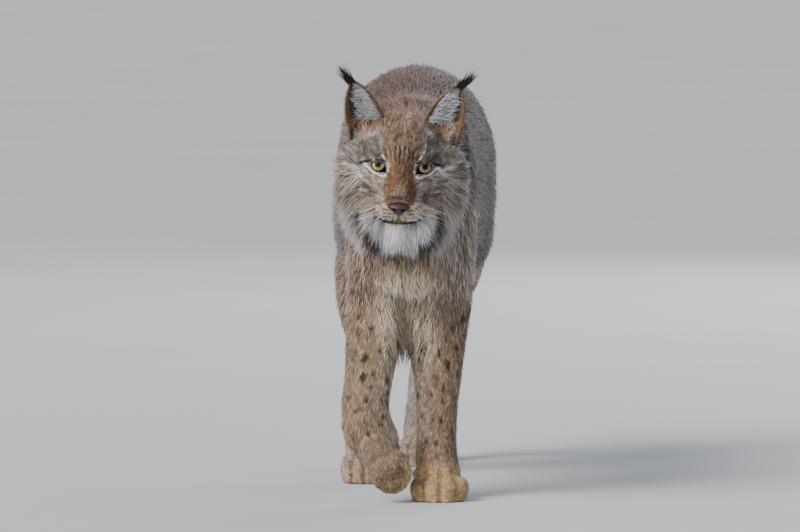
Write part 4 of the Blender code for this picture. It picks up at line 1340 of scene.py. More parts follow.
def ear_tone(q, normals):
    """Pale fluff inside, a dark hollow at the outer edge, a tan rim and a dark back."""
    up, out, _ = ear_places(q)
    turned = normals @ HEAD_BACK[:3, :3].T
    turned[:, 0] *= np.sign(q[:, 0])
    cup = ramp(turned @ np.array(EAR_BACK), 0.15, -0.15)
    half = np.clip(1 - np.clip(up, 0, 1) ** 1.9, 0, 1) ** 0.75 + 0.05
    edge = np.abs(out) / half
    colour = mix(filled(EAR_REAR, q), EAR_INSIDE, cup)
    colour = mix(colour, EAR_HOLLOW, cup * ramp(out / half, 0.05, 0.45))
    colour = mix(colour, EAR_RIM, ramp(edge, 0.62, 0.78) * (0.4 + 0.6 * cup))
    colour = mix(colour, EAR_POCKET, ramp(up, 0.24, 0.10) * ramp(out, 0.35, 0.75))
    return mix(colour, BLACK, ramp(up, 0.90, 0.98))


def fan_grain(places, side, size, seed):
    """Noise drawn out along the rays that leave the nose, as the hair of the face lies."""
    ray = places - [0, -62]
    angle = np.arctan2(ray[:, 0] * side, ray[:, 1])
    reach = np.linalg.norm(ray, axis=1)
    return waves(np.stack([angle * 0.055, reach * 0.00030, 0.02 * side], 1), size, seed)


def head_tone(points, normals, q):
    """The colours of the head, from broad areas to fine strokes."""
    place = plane_places(points)
    front = ramp(q[:, 1], 0.055, 0.020)
    side = np.sign(q[:, 0])
    colour = filled(CHEEK, points)
    colour = mix(colour, NAPE, ramp(q[:, 1], 0.020, 0.060) * ramp(q[:, 2], 0.01, 0.04))
    mottle = fan_grain(place, side, 0.0075, 8)
    fine = fan_grain(place, side, 0.0040, 9)
    colour = colour * np.clip(1 + 0.22 * mottle + 0.26 * fine, 0.3, 1.8)[:, None]
    for (kind, line, width, paint, strength), laid in zip(STROKES, LAID_STROKES):
        if kind == "shape":
            edge = inside(place, line) + 2.0 * mottle + 1.6 * fine
            share = ramp(edge, -width / 2, width / 2) * (front if line is not BEARD_SHAPE else 1)
            paint = paint * np.clip(1 + 0.16 * mottle + 0.22 * fine, 0.3, 1.7)[:, None]
        elif kind == "band":
            far = line_distance(place, line) + 1.2 * mottle + 1.0 * fine
            share = ramp(far, width * 1.5, width * 0.5) * ramp(q[:, 1], 0.12, 0.09)
        else:
            sides = [line_distance(points, places) * 1000 for places in laid]
            share = ramp(np.minimum(*sides) + 0.25 * fine, width * 1.45, width * 0.55)
        colour = mix(colour, paint, share * strength)
    return mix(colour, ear_tone(q, normals), ear_places(q)[2])


# %% [markdown]
# ## Skin finish
# The skin shows between the tufts, at the lips and round the eyes. It carries the coat's colours
# a little darker, as the roots of a coat are, and a fine grain of short hair.

# %% Hair grain group and coat materials


def grain_group():
    """Breaks up a coat colour into fine lights and darks, and gives a bump height."""
    group = bpy.data.node_groups.new("hair_grain", "ShaderNodeTree")
    face = group.interface
    face.new_socket("Colour", in_out="INPUT", socket_type="NodeSocketColor")
    size = face.new_socket("Scale", in_out="INPUT", socket_type="NodeSocketFloat")
    size.default_value = 700
    amount = face.new_socket("Amount", in_out="INPUT", socket_type="NodeSocketFloat")
    amount.default_value = 0.35
    face.new_socket("Colour", in_out="OUTPUT", socket_type="NodeSocketColor")
    face.new_socket("Height", in_out="OUTPUT", socket_type="NodeSocketFloat")
    nodes, links = group.nodes, group.links
    start = nodes.new("NodeGroupInput")
    end = nodes.new("NodeGroupOutput")
    place = add_node(nodes, "TexCoord")
    noise = add_node(nodes, "TexNoise", Detail=3)
    spread = add_node(nodes, "MapRange", From_Min=0.3, From_Max=0.7)
    low = add_node(nodes, "Math")
    low.operation = "SUBTRACT"
    low.inputs[0].default_value = 1.0
    high = add_node(nodes, "Math")
    high.operation = "ADD"
    high.inputs[0].default_value = 1.0
    scale = add_node(nodes, "VectorMath")
    scale.operation = "SCALE"
    wire(
        links,
        (place, "Object", noise, "Vector"),
        (start, "Scale", noise, "Scale"),
        (noise, "Fac", spread, "Value"),
        (start, "Amount", low, 1),
        (start, "Amount", high, 1),
        (low, 0, spread, "To Min"),
        (high, 0, spread, "To Max"),
        (start, "Colour", scale, 0),
        (spread, "Result", scale, "Scale"),
        (scale, "Vector", end, "Colour"),
        (noise, "Fac", end, "Height"),
    )
    return group


GRAIN = grain_group()


def add_relief(nodes, links, shader, height, strength, distance):
    """A bump from one node's output, given as the node and the output's name."""
    relief = add_node(nodes, "Bump", Strength=strength, Distance=distance)
    wire(links, (*height, relief, "Height"), (relief, "Normal", shader, "Normal"))


def tinted(name, **values):
    """A material with the colour that each vertex carries, and these values of its shader."""
    made, nodes, links = new_material(name)
    tint = add_node(nodes, "Attribute")
    tint.attribute_name = "tint"
    shader = nodes["Principled BSDF"]
    set_inputs(shader, **values)
    wire(links, (tint, "Color", shader, "Base Color"))
    return made, nodes, links, tint


def coat_material(name, scale, amount, roughness, bump=0.0):
    made, nodes, links, tint = tinted(
        name, Roughness=roughness, Specular_IOR_Level=0.25, Sheen_Weight=0.12
    )
    shader = nodes["Principled BSDF"]
    grain = nodes.new("ShaderNodeGroup")
    grain.node_tree = GRAIN
    set_inputs(grain, Scale=scale, Amount=amount)
    wire(links, (tint, "Color", grain, "Colour"), (grain, "Colour", shader, "Base Color"))
    if bump:
        add_relief(nodes, links, shader, (grain, "Height"), bump, 0.001)
    return made


SKIN_FINISH = coat_material("short_coat", 900, 0.25, 0.75, bump=0.5)
FUR_FINISH = coat_material("coat_tufts", 650, 0.22, 0.62)
LONG_FINISH = coat_material("long_hair", 500, 0.18, 0.52)


# %% Bare skin materials


def leather_material(name, low, high, roughness, scale=900, bump=0.35):
    made, nodes, links = new_material(name)
    shader = nodes["Principled BSDF"]
    place = add_node(nodes, "TexCoord")
    cells = add_node(nodes, "TexVoronoi", Scale=scale)
    noise = add_node(nodes, "TexNoise", Scale=scale / 6)
    shade = add_ramp(nodes, low, high, 0.35, 0.65)
    wire(
        links,
        (place, "Object", cells, "Vector"),
        (place, "Object", noise, "Vector"),
        (noise, "Fac", shade, "Fac"),
        (shade, "Color", shader, "Base Color"),
    )
    add_relief(nodes, links, shader, (cells, "Distance"), bump, 0.0006)
    set_inputs(shader, Roughness=roughness, Coat_Weight=0.22, Coat_Roughness=0.25)
    return made


LIP_FINISH = leather_material("dark_lip", tone(26, 18, 17), tone(44, 30, 27), 0.45)
NOSE_FINISH = leather_material("nose_leather", tone(38, 22, 20), tone(66, 39, 33), 0.5)
PAD_FINISH = leather_material("paw_pad", tone(52, 40, 38), tone(84, 64, 58), 0.7, 500)
CLAW_FINISH = leather_material("claw_horn", tone(120, 104, 86), tone(176, 160, 138), 0.35, 200, 0.1)


def paint(obj, colours):
    """Stores one colour for each vertex under the name that the materials read."""
    layer = obj.data.color_attributes.new("tint", "FLOAT_COLOR", "POINT")
    values = np.ones((len(obj.data.vertices), 4), np.float32)
    values[:, :3] = np.clip(colours, 0.002, 0.95)
    layer.data.foreach_set("color", values.ravel())


def finished(obj, name, material, replaced=()):
    """Moves a piece into the frame, names it, rides it and gives it its finish."""
    set_coords(obj, coords(obj) + np.array(SHIFT))
    obj.name = name
    obj.data.name = name
    obj.data.materials.clear()
    obj.data.materials.append(material)
    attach(obj, "root")
    if replaced:
        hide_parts(*replaced)
    return obj


ROOT_SHADE = 0.62
flow, weights, on_head, paws, q = lie_and_parts(SKIN_POINTS, SKIN_NORMALS)
skin_tones = coat_tone(SKIN_POINTS, SKIN_NORMALS, flow, weights, on_head, paws, q)
paint(skin, skin_tones * ROOT_SHADE)
skin.data.shade_smooth()

# %% [markdown]
# ## An unwrap of the skin
# Each tuft gets a tiny patch of a picture that the tufts' colours can be baked into, at the place
# of its root on an unwrap of the skin. A thinned copy of the skin is unwrapped by angle, and every
# root looks up the nearest place on it.

# %% Unwrap
PATCH = 0.003
PATTERN_TRIANGLES = 9000


def unwrapped_copy():
    """A thinned copy of the skin, unwrapped by the angles between its faces."""
    made = skin.copy()
    made.data = skin.data.copy()
    bpy.context.scene.collection.objects.link(made)
    apply(made, "DECIMATE", ratio=PATTERN_TRIANGLES / len(SKIN_TRIANGLES))
    choose(made)
    bpy.ops.object.mode_set(mode="EDIT")
    bpy.ops.mesh.select_all(action="SELECT")
    bpy.ops.uv.smart_project(angle_limit=math.radians(66), island_margin=0.004)
    bpy.ops.object.mode_set(mode="OBJECT")
    return made


pattern = unwrapped_copy()
pattern_points = coords(pattern)
pattern_triangles = triangles(pattern)
pattern_loops = read(pattern.data.loop_triangles, "loops", 3, int)
flat_uv = read(pattern.data.uv_layers.active.data, "uv", 2)
pattern_tree = BVHTree.FromPolygons(
    [Vector(p) for p in pattern_points], [tuple(map(int, t)) for t in pattern_triangles]
)
bpy.data.objects.remove(pattern)


def root_places(points):
    """The place of each root on the unwrap."""
    faces, spots = [], []
    for p in points:
        spot, _, face, _ = pattern_tree.find_nearest(p)
        faces.append(face)
        spots.append(spot)
    spots = np.array(spots)
    corner = pattern_points[pattern_triangles[faces]]
    a, b, c = corner[:, 0], corner[:, 1], corner[:, 2]
    v0, v1, v2 = b - a, c - a, spots - a
    d00, d01, d11 = (v0 * v0).sum(1), (v0 * v1).sum(1), (v1 * v1).sum(1)
    d20, d21 = (v2 * v0).sum(1), (v2 * v1).sum(1)
    base = d00 * d11 - d01 * d01 + 1e-18
    v = (d11 * d20 - d01 * d21) / base
    w = (d00 * d21 - d01 * d20) / base
    uv = flat_uv[pattern_loops[faces]]
    return uv[:, 0] * (1 - v - w)[:, None] + uv[:, 1] * v[:, None] + uv[:, 2] * w[:, None]


# %% [markdown]
# ## Tufts
# One tuft is a slim three-sided lock that tapers to a point and bends towards the body. A whole
# coat is far too much to model one by one, so all the tufts of a piece are worked out as arrays
# and set into one mesh: that is the other way to make geometry when there is a great deal of it.

# %% Tuft maker
RING_SHARES = {2: (0.0, 0.5), 3: (0.0, 0.34, 0.70), 4: (0.0, 0.28, 0.55, 0.80)}
RING_WIDTHS = {2: (0.75, 1.0), 3: (0.70, 1.0, 0.62), 4: (0.65, 1.0, 0.80, 0.45)}
ROOT_SINK = 0.0015
TUFT_FLOOR = 0.0006
BODY_NORMAL_SHARE = 0.62
COAT_PIECES = []


def tuft_points(coat, rings):
    """Vertices of every tuft, ring after ring and then the tip."""
    normals, ways, lengths = coat["normals"], coat["ways"], coat["lengths"]
    across = unit(np.cross(ways, normals), 1e-9)
    up = np.cross(across, ways)
    parts = []
    centres = []
    for share in (*RING_SHARES[rings], 1.0):
        centre = coat["roots"] + ways * (lengths * share)[:, None]
        centre = centre - normals * (lengths * coat["bend"] * share * share)[:, None]
        centre = centre + across * (lengths * coat["sway"] * share * share)[:, None]
        centres.append(centre)
    centres[0] = centres[0] - normals * ROOT_SINK
    for centre, wide in zip(centres, RING_WIDTHS[rings]):
        half = (coat["widths"] * wide / 2)[:, None]
        parts += [centre - across * half, centre + across * half, centre + up * half * 0.9]
    parts.append(centres[-1])
    return np.stack(parts, 1)


def tuft_faces(count, rings):
    """Corners of the closed faces, with the number of corners of each."""
    quads, tris = [], [(0, 1, 2)]
    for r in range(rings - 1):
        a, b = 3 * r, 3 * r + 3
        for k in range(3):
            n = (k + 1) % 3
            quads.append((a + n, a + k, b + k, b + n))
    top, last = 3 * (rings - 1), 3 * rings
    for k in range(3):
        tris.append((top + (k + 1) % 3, top + k, last))
    size = 3 * rings + 1
    corners = np.array([i for f in quads for i in f] + [i for f in tris for i in f])
    sizes = np.array([4] * len(quads) + [3] * len(tris))
    offsets = (np.arange(count) * size)[:, None]
    return (corners[None] + offsets).ravel(), np.tile(sizes, count), size


def tuft_piece(name, coat, rings, material):
    """One mesh of many tufts. The coat holds arrays by name."""
    count = len(coat["roots"])
    points = tuft_points(coat, rings)
    points[..., 2] = np.maximum(points[..., 2], TUFT_FLOOR)
    points += np.array(SHIFT)
    corners, sizes, size = tuft_faces(count, rings)
    mesh = bpy.data.meshes.new(name)
    mesh.vertices.add(count * size)
    mesh.vertices.foreach_set("co", points.astype(np.float32).ravel())
    mesh.loops.add(len(corners))
    mesh.loops.foreach_set("vertex_index", corners.astype(np.int32))
    mesh.polygons.add(len(sizes))
    starts = np.concatenate([[0], np.cumsum(sizes)[:-1]])
    mesh.polygons.foreach_set("loop_start", starts.astype(np.int32))
    mesh.update(calc_edges=True)
    shares = (*RING_SHARES[rings], 1.0)
    tints = np.zeros((count, size, 4), np.float32)
    tints[..., 3] = 1
    for r in range(rings + 1):
        at = slice(3 * r, min(3 * r + 3, size))
        share = shares[r]
        low, high = coat["root_tone"], coat["mid_tone"]
        value = low + (high - low) * min(share / 0.5, 1.0)
        if share > 0.5:
            value = high + (coat["tip_tone"] - high) * (share - 0.5) / 0.5
        tints[:, at, :3] = value[:, None]
    layer = mesh.color_attributes.new("tint", "FLOAT_COLOR", "POINT")
    layer.data.foreach_set("color", np.clip(tints, 0.002, 0.95).ravel())
    spread = np.array([[k / 2, shares[r]] for r in range(rings) for k in range(3)] + [[0.5, 1.0]])
    patches = coat["uv"][:, None] + (spread[None] - 0.5) * PATCH
    unwrap = mesh.uv_layers.new(name="OFBake")
    per_corner = patches.reshape(-1, 2)[corners]
    unwrap.data.foreach_set("uv", per_corner.astype(np.float32).ravel())
    mesh.shade_smooth()
    own = read(mesh.vertices, "normal", 3).reshape(count, size, 3)
    soft = own * (1 - BODY_NORMAL_SHARE) + coat["normals"][:, None] * BODY_NORMAL_SHARE
    soft = unit(soft, 1e-9)
    mesh.normals_split_custom_set_from_vertices(soft.reshape(-1, 3).astype(np.float32))
    made = bpy.data.objects.new(name, mesh)
    bpy.context.scene.collection.objects.link(made)
    mesh.materials.append(material)
    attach(made, "root")
    COAT_PIECES.append((name, count, sum(s - 2 for s in sizes[: len(sizes) // count]) * count))
    return made


# %% [markdown]
# ## The coat's plan
# The tufts' length, width and lift change over the body. They are long and soft on trunk, neck,
# belly and thighs, short on the legs, and tiny on face and paws. Neighbours lean together into
# soft clumps, and a slow wave turns whole areas a little, so that the coat never looks combed.

# %% Coat plan
TRUNK_LENGTH = 0.030
LEG_LENGTH = 0.019
PAW_HAIR_LENGTH = 0.0090
EAR_HAIR_LENGTH = 0.0046
TUFTS_OF_A_PIECE = 19000
EYE_CLEAR = 0.0008
SEEN_SHARE = 0.55


def face_openness(points, q):
    """0 where no tuft grows: on the nose and the lips and in the openings of the eyes."""
    keep = np.ones(len(q))
    nose = ((np.abs(q[:, 0]) / 0.0165) ** 2 + ((q[:, 2] + 0.042) / 0.0115) ** 2) < 1
    keep[nose & (q[:, 1] < -0.066)] = 0
    keep[eye_distance(q) < EYE_RADIUS + EYE_CLEAR] = 0
    for side in SIDES.values():
        keep[line_distance(points, face_line(LIP_LINE, side)) < 0.0022] = 0
    return keep


def strands(points, normals, ways, lengths, widths, bend, sway, low, mid, tip):
    """Arrays for one piece of tufts, with the colours of their roots, middles and tips."""
    return {
        "roots": points, "normals": normals, "ways": ways, "lengths": lengths, "widths": widths,
        "bend": bend, "sway": sway, "root_tone": low, "mid_tone": mid, "tip_tone": tip,
        "uv": root_places(points),
    }


def drawn(rng, count, width, bend, sway):
    """Widths, bends and sways: two ranges, and a spread about nothing."""
    return rng.uniform(*width, count), rng.uniform(*bend, count), rng.normal(0, sway, count)


def coat_plan(points, normals, seed):
    """Everything about the tufts that grow at these roots, and which are the head's and legs'."""
    rng = np.random.default_rng(seed)
    count = len(points)
    flow, weights, on_head, paws, q = lie_and_parts(points, normals)
    legs = legs_share(weights)
    trunk = (1 - legs) * (1 - on_head)
    low = ramp(points[:, 2], 0.42, 0.20) * legs
    # Lengths on the body, then on the face, where they grow from the nose outwards.
    lengths = TRUNK_LENGTH * (1 - legs) + legs * (LEG_LENGTH - 0.008 * low)
    lengths = lengths * (1 - 0.35 * weights["tail"])
    belly = ramp(normals[:, 2], -0.3, -0.8) * (1 - legs)
    lengths = lengths * (1 + 0.45 * belly)
    lengths = lengths * (1 - paws) + PAW_HAIR_LENGTH * paws
    away = np.linalg.norm(q - MUZZLE_MIDDLE, axis=1)
    face = 0.0034 + 0.0070 * ramp(away, 0.03, 0.11) + 0.012 * ramp(away, 0.11, 0.17)
    wide = np.abs(q[:, 0])
    face = face + 0.018 * ramp(wide, 0.052, 0.082) * ramp(q[:, 2], 0.020, -0.020)
    face = face + 0.012 * ramp(wide, 0.034, 0.052) * ramp(q[:, 2], -0.040, -0.062)
    face = face * (0.45 + 0.55 * ramp(eye_distance(q), 0.016, 0.034))
    ears = ear_places(q)[2]
    face = face * (1 - ears) + EAR_HAIR_LENGTH * ears
    lengths = lengths * (1 - on_head) + face * on_head
    lengths = lengths * rng.uniform(0.75, 1.2, count)
    widths = np.clip(lengths * 0.068, 0.00074, 0.0018) * rng.uniform(0.8, 1.2, count)
    # Ways: lifted off the skin, turned a little and leant together.
    lift = np.radians(24 - 6 * on_head - 6 * low - 6 * paws) * rng.uniform(0.55, 1.35, count)
    sideways = np.cross(flow, normals)
    turn = 0.20 * waves(points, 0.055, 21) + 0.12 * waves(points, 0.020, 22)
    turn = turn * (1 - 0.6 * on_head) + rng.normal(0, 0.14, count)
    ways = flow * np.cos(turn)[:, None] + sideways * np.sin(turn)[:, None]
    ways = ways * np.cos(lift)[:, None] + normals * np.sin(lift)[:, None]
    share = 0.22 + 0.08 * on_head - 0.16 * paws
    ways, leaders = clumped(points, ways, lengths, rng, share, 5)
    # Colours at the place where a tuft is seen, some frosted and some dark.
    seen = points + ways * (lengths * SEEN_SHARE)[:, None]
    tones = coat_tone(seen, normals, flow, weights, on_head, paws, head_points(seen))
    white = ramp(tones.mean(1), 0.30, 0.60)
    pick = 0.45 * rng.random(count) + 0.55 * rng.random(count)[leaders]
    pick = pick + 0.12 * waves(points, 0.0060, 23)
    frost = np.where(pick < 0.38, 1.75, np.where(pick > 0.63 + 0.20 * white, 0.32, 1.0))
    frost = 1 + (frost - 1) * (1 - 0.30 * trunk)
    mid = tones * (1 + (frost - 1) * 0.6)[:, None] * rng.uniform(0.84, 1.18, count)[:, None]
    coat = strands(
        points, normals, ways, lengths, widths, rng.uniform(0.10, 0.30, count),
        rng.normal(0, 0.10, count), tones * ROOT_SHADE, mid,
        mid * (1 + (frost - 1) * 0.6)[:, None],
    )
    return coat, on_head > 0.5, (legs > 0.5) | (paws > 0.5)


def clumped(points, ways, lengths, rng, share, size=9):
    """Turns each tuft so that its tip leans to the tip of a nearby leader, and names the leader."""
    share = np.broadcast_to(share, len(points))[:, None]
    leaders = rng.choice(len(points), max(len(points) // size, 1), replace=False)
    tree = tree_of(points[leaders])
    nearest = leaders[np.array([tree.find(p)[1] for p in points])]
    tips = points + ways * lengths[:, None]
    goal = points[nearest] + ways[nearest] * lengths[nearest][:, None]
    moved = tips + (goal - tips) * share
    return unit(moved - points, 1e-9), nearest


def part_of(coat, mask):
    return {key: value[mask] for key, value in coat.items()}


def pieces_from(coat, name, rings, material, limit=TUFTS_OF_A_PIECE):
    """Splits a coat into pieces that stay light enough."""
    count = len(coat["roots"])
    number = max(1, math.ceil(count / limit))
    for k in range(number):
        mask = np.zeros(count, bool)
        mask[k * count // number:(k + 1) * count // number] = True
        label = name if number == 1 else "%s_%d" % (name, k + 1)
        tuft_piece(label, part_of(coat, mask), rings, material)


# %% Body coat
# Tufts for each square metre. The face's come on top of the head's, about the muzzle.
TRUNK_DENSITY = 70000
LEG_DENSITY = 60000
PAW_DENSITY = 170000
HEAD_DENSITY = 186000
FACE_DENSITY = 520000
EAR_DENSITY = 260000

middle_normals = SKIN_NORMALS[SKIN_TRIANGLES].mean(1)
_, tri_weights, tri_head, tri_paws, tri_q = lie_and_parts(SKIN_MIDDLES, middle_normals)
tri_legs = legs_share(tri_weights)
tri_low = ramp(SKIN_MIDDLES[:, 2], 0.42, 0.20) * tri_legs
tri_face = ramp(np.linalg.norm(tri_q - MUZZLE_MIDDLE, axis=1), 0.15, 0.07)
tri_ears = ear_places(tri_q)[2]
DENSITY_SCALE = 1.0
density = TRUNK_DENSITY * (1 - tri_legs) + tri_legs * (LEG_DENSITY + 40000 * tri_low)
density = density * (1 - tri_paws) + PAW_DENSITY * tri_paws
density = density * (1 - tri_head) + (HEAD_DENSITY + FACE_DENSITY * tri_face) * tri_head
density = density * (1 - tri_ears) + EAR_DENSITY * tri_ears
density *= DENSITY_SCALE * (1 - tri_head * (1 - face_openness(SKIN_MIDDLES, tri_q)))
density *= ramp(SKIN_MIDDLES[:, 2], 0.003, 0.006)

roots, root_normals = scatter(density, 41)
kept = (face_openness(roots, head_points(roots)) > 0.5) | (head_share(roots) < 0.5)
coat, is_head, is_leg = coat_plan(roots[kept], root_normals[kept], 42)
print("tufts:", len(is_head))
pieces_from(part_of(coat, is_head), "coat_head", 2, FUR_FINISH)
pieces_from(part_of(coat, ~is_head & is_leg), "coat_legs", 2, FUR_FINISH)
pieces_from(part_of(coat, ~is_head & ~is_leg), "coat_body", 2, FUR_FINISH)

# %% [markdown]
# ## Ruff, beard and ear brushes
# These long locks name the animal. The ruff hangs down both cheeks with a dark stripe inside its
# pale fringe, the white beard hangs from the jaw, pale fluff sweeps across each ear's cup and a
# black brush stands on its tip. The locks are the same tufts, longer and with more bends. The
# ruff that the viewer sees grows in rows: each row has a line of roots on the face and a line of
# tips, so that the outline and the stripe stay where they belong. The hair behind them, and the
# fringe that hangs from the breast between the legs, grow from the skin like the rest of the coat.

# %% Long hair
RUFF_LENGTH = 0.058
BEARD_LENGTH = 0.080
TUFT_LENGTH = 0.043
RUFF_DENSITY = 42000
BEARD_DENSITY = 90000
BREAST_DENSITY = 60000
EAR_FLUFF_COUNT = 460
EAR_BRUSH_COUNT = 84
LOCKS_OF_A_PIECE = 9000
FRINGE = ((110, -26), (111, -52), (103, -78), (89, -103), (72, -127), (57, -145))


def ruff_tone(places, tones, rng):
    """White beard, dark stripe and pale grey fringe, by the place in the viewer's plane."""
    grain = fan_grain(places, np.ones(len(places)), 0.0060, 11)
    deep = 8 + 6 * ramp(places[:, 1], -60, -100)
    outer = ramp((line_distance(places, FRINGE) + 2 * grain) / deep, 1.25, 0.70)
    colour = mix(tones, RUFF_GREY, outer * 0.88)
    colour = mix(colour, BEARD_WHITE, ramp(inside(places, BEARD_SHAPE) + 2 * grain, -3, 2))
    stripe = ramp(line_distance(places, DARK_BAND) + 1.5 * grain, 8.2, 4.2)
    colour = mix(colour, DARK, stripe * 0.93)
    return colour * rng.uniform(0.72, 1.18, len(colour))[:, None]


# Each row of locks: a line of roots, a line of tips, how far the tips lie behind their roots,
# the number of locks on each side, how far roots and tips are strewn, and its own paint if the
# place doesn't give it. In millimetres.
RUFF_ROWS = (
    (((80, -4), (88, -26), (88, -48), (80, -68), (69, -84), (56, -96)),
     ((102, -14), (110, -46), (103, -76), (90, -103), (73, -128), (57, -148)), 24, 900, 5, 6, None),
    (((66, -26), (70, -46), (66, -60), (59, -72), (51, -82)),
     ((90, -46), (95, -76), (84, -98), (71, -114), (60, -127)), 12, 700, 5, 8, None),
    (((56, -76), (53, -86), (46, -94), (36, -101)),
     ((69, -108), (60, -127), (49, -143), (34, -157)), -3, 360, 3, 3, DARK),
    (((40, -56), (42, -66), (45, -76), (43, -86), (34, -92)),
     ((60, -68), (62, -84), (59, -102), (50, -120), (40, -132)), -4, 520, 3, 6, None),
    (((0, -99), (8, -99.5), (17, -98.5), (26, -95), (33, -91)),
     ((-1, -133), (9, -142), (21, -150), (31, -146), (39, -133)), 4, 560, 1.5, 5, None),
)


def facing(normals, share):
    """Normals turned to the viewer's side, so that hanging locks catch the light as a sheet does."""
    ahead = np.array(SIGHT) + np.array([0, 0, 0.35])
    return unit(normals * (1 - share) + unit(ahead) * share)


def along_line(line, share):
    """Places at shares from 0 to 1 of a line's corners."""
    line = np.array(line, float)
    return np.stack([np.interp(share * (len(line) - 1), range(len(line)), c) for c in line.T], 1)


def nearest_hit(side, u, v):
    """The face under a point of the plane, walking in to the jaw if the point lies beside it."""
    for _ in range(14):
        found = face_hit(side, u, v)
        if found is not None:
            return found + (np.array([u, v]),)
        u, v = u + (20 - u) * 0.09, v + (-68 - v) * 0.09
    raise ValueError("no face is near this place")


def hair_tones(roots, normals):
    """The coat's colours at the roots, without the lie of the coat."""
    _, *parts = lie_and_parts(roots, normals)
    return coat_tone(roots, normals, np.zeros_like(roots), *parts)


def lock_tones(roots, ways, lengths, tones, rng, shares):
    """The ruff's colours at shares of each lock's length."""
    reach = ways * lengths[:, None]
    return [ruff_tone(plane_places(roots + reach * share), tones, rng) for share in shares]


def grow_rows():
    """The ruff as the viewer sees it, row behind row, from its place on the face to its tips."""
    rng = np.random.default_rng(57)
    coats = []
    for side in SIDES.values():
        for first, last, behind, count, strewn, loose, painted in RUFF_ROWS:
            count = int(count * DENSITY_SCALE)
            share = rng.random(count)
            starts = along_line(first, share) + rng.normal(0, strewn, (count, 2))
            ends = along_line(last, np.clip(share + rng.normal(0, 0.04, count), 0, 1))
            ends = ends + rng.normal(0, loose, (count, 2)) * [0.6, 1.0]
            reach = rng.uniform(0.72, 1.04, count)[:, None]
            hits = [nearest_hit(side, u, v) for u, v in starts]
            roots, normals, starts = (np.array([h[k] for h in hits]) for k in range(3))
            step = (ends - starts) * reach / 1000 * [side, 1.0]
            ways = step[:, :1] * np.array(FACE_X) + step[:, 1:] * np.array(FACE_UP)
            ways = ways - np.array(SIGHT) * (behind / 1000 * rng.uniform(0.6, 1.2, count))[:, None]
            lengths = np.linalg.norm(ways, axis=1)
            ways = ways / lengths[:, None]
            ways, _ = clumped(roots, ways, lengths, rng, 0.30, 6)
            tones = hair_tones(roots, normals)
            mid, tip = lock_tones(roots, ways, lengths, tones, rng, (0.55, 0.92))
            if painted is not None:
                mid = tip = painted * rng.uniform(0.8, 1.8, count)[:, None]
            low = mix(tones, mid, np.full(count, 0.5)) * 0.92
            coats.append(strands(
                roots, facing(normals, 0.45), ways, lengths,
                *drawn(rng, count, (0.0009, 0.0017), (-0.12, 0.06), 0.07), low, mid, tip,
            ))
    return stacked(coats)


def hanging(density, seed):
    """Roots, normals, places in the head's frame and colours for hair that hangs."""
    roots, normals = scatter(density * DENSITY_SCALE, seed)
    return roots, normals, head_points(roots), hair_tones(roots, normals)


def grow_ruff():
    """The hair behind the rows, which fans out and down from the cheeks."""
    wide = np.abs(tri_q[:, 0])
    angle = np.degrees(np.arctan2(tri_q[:, 2] + 0.034, wide))
    band = ramp(angle, 6, -14) * ramp(angle, -88, -74) * ramp(tri_q[:, 1], -0.004, 0.016)
    band *= ramp(tri_q[:, 1], 0.112, 0.092) * tri_head
    roots, normals, q, tones = hanging(RUFF_DENSITY * band, 51)
    rng = np.random.default_rng(52)
    count = len(roots)
    side = np.sign(q[:, 0])
    angle = np.arctan2(q[:, 2] + 0.034, np.abs(q[:, 0]))
    down = np.stack([side * np.sin(angle) * 0.9, np.full(count, 0.30), -np.cos(angle) * 0.9], 1)
    ways = tangent(head_turned(down), normals)
    ways = ways + normals * rng.uniform(0.18, 0.42, count)[:, None]
    free = ramp(-np.degrees(angle), 12, 46)[:, None]
    hang = np.stack([side * (0.10 + 0.30 * np.cos(angle)), np.full(count, -0.06), -np.ones(count)], 1)
    ways = unit(ways * (1 - free) + hang * free + rng.normal(0, 0.075, (count, 3)))
    lengths = RUFF_LENGTH * (0.62 + 0.50 * ramp(-np.degrees(angle), -5, 45))
    lengths = lengths * rng.uniform(0.62, 1.12, count)
    ways, _ = clumped(roots, ways, lengths, rng, 0.40)
    mid, tip = lock_tones(roots, ways, lengths, tones, rng, (0.6, 0.9))
    return strands(
        roots, normals, ways, lengths,
        *drawn(rng, count, (0.0012, 0.0021), (0.02, 0.14), 0.06), mid * 0.6, mid, tip * 1.05,
    )


def grow_beard():
    """White hair that hangs from the jaw."""
    wide = np.abs(tri_q[:, 0])
    band = ramp(wide, 0.056, 0.046) * ramp(tri_q[:, 1], -0.058, -0.046) * tri_head
    band *= ramp(tri_q[:, 1], 0.060, 0.046) * ramp(tri_q[:, 2], -0.066, -0.078)
    roots, normals, q, tones = hanging(BEARD_DENSITY * band, 53)
    rng = np.random.default_rng(54)
    count = len(roots)
    ways = np.stack([q[:, 0] * 6.0 + 0.11, 0.10 - q[:, 1] * 5.0, np.full(count, -1.0)], 1)
    ways = unit(head_turned(ways) + rng.normal(0, 0.08, (count, 3)))
    lengths = BEARD_LENGTH * ramp(q[:, 1], -0.082, -0.010) * rng.uniform(0.62, 1.0, count)
    lengths = np.maximum(lengths, 0.012)
    ways, _ = clumped(roots, ways, lengths, rng, 0.4)
    mid, tip = lock_tones(roots, ways, lengths, tones, rng, (0.6, 0.9))
    return strands(
        roots, facing(normals, 0.92), ways, lengths,
        *drawn(rng, count, (0.0009, 0.0016), (-0.05, 0.08), 0.05), mid * 1.3, mid * 1.4, tip * 1.4,
    )


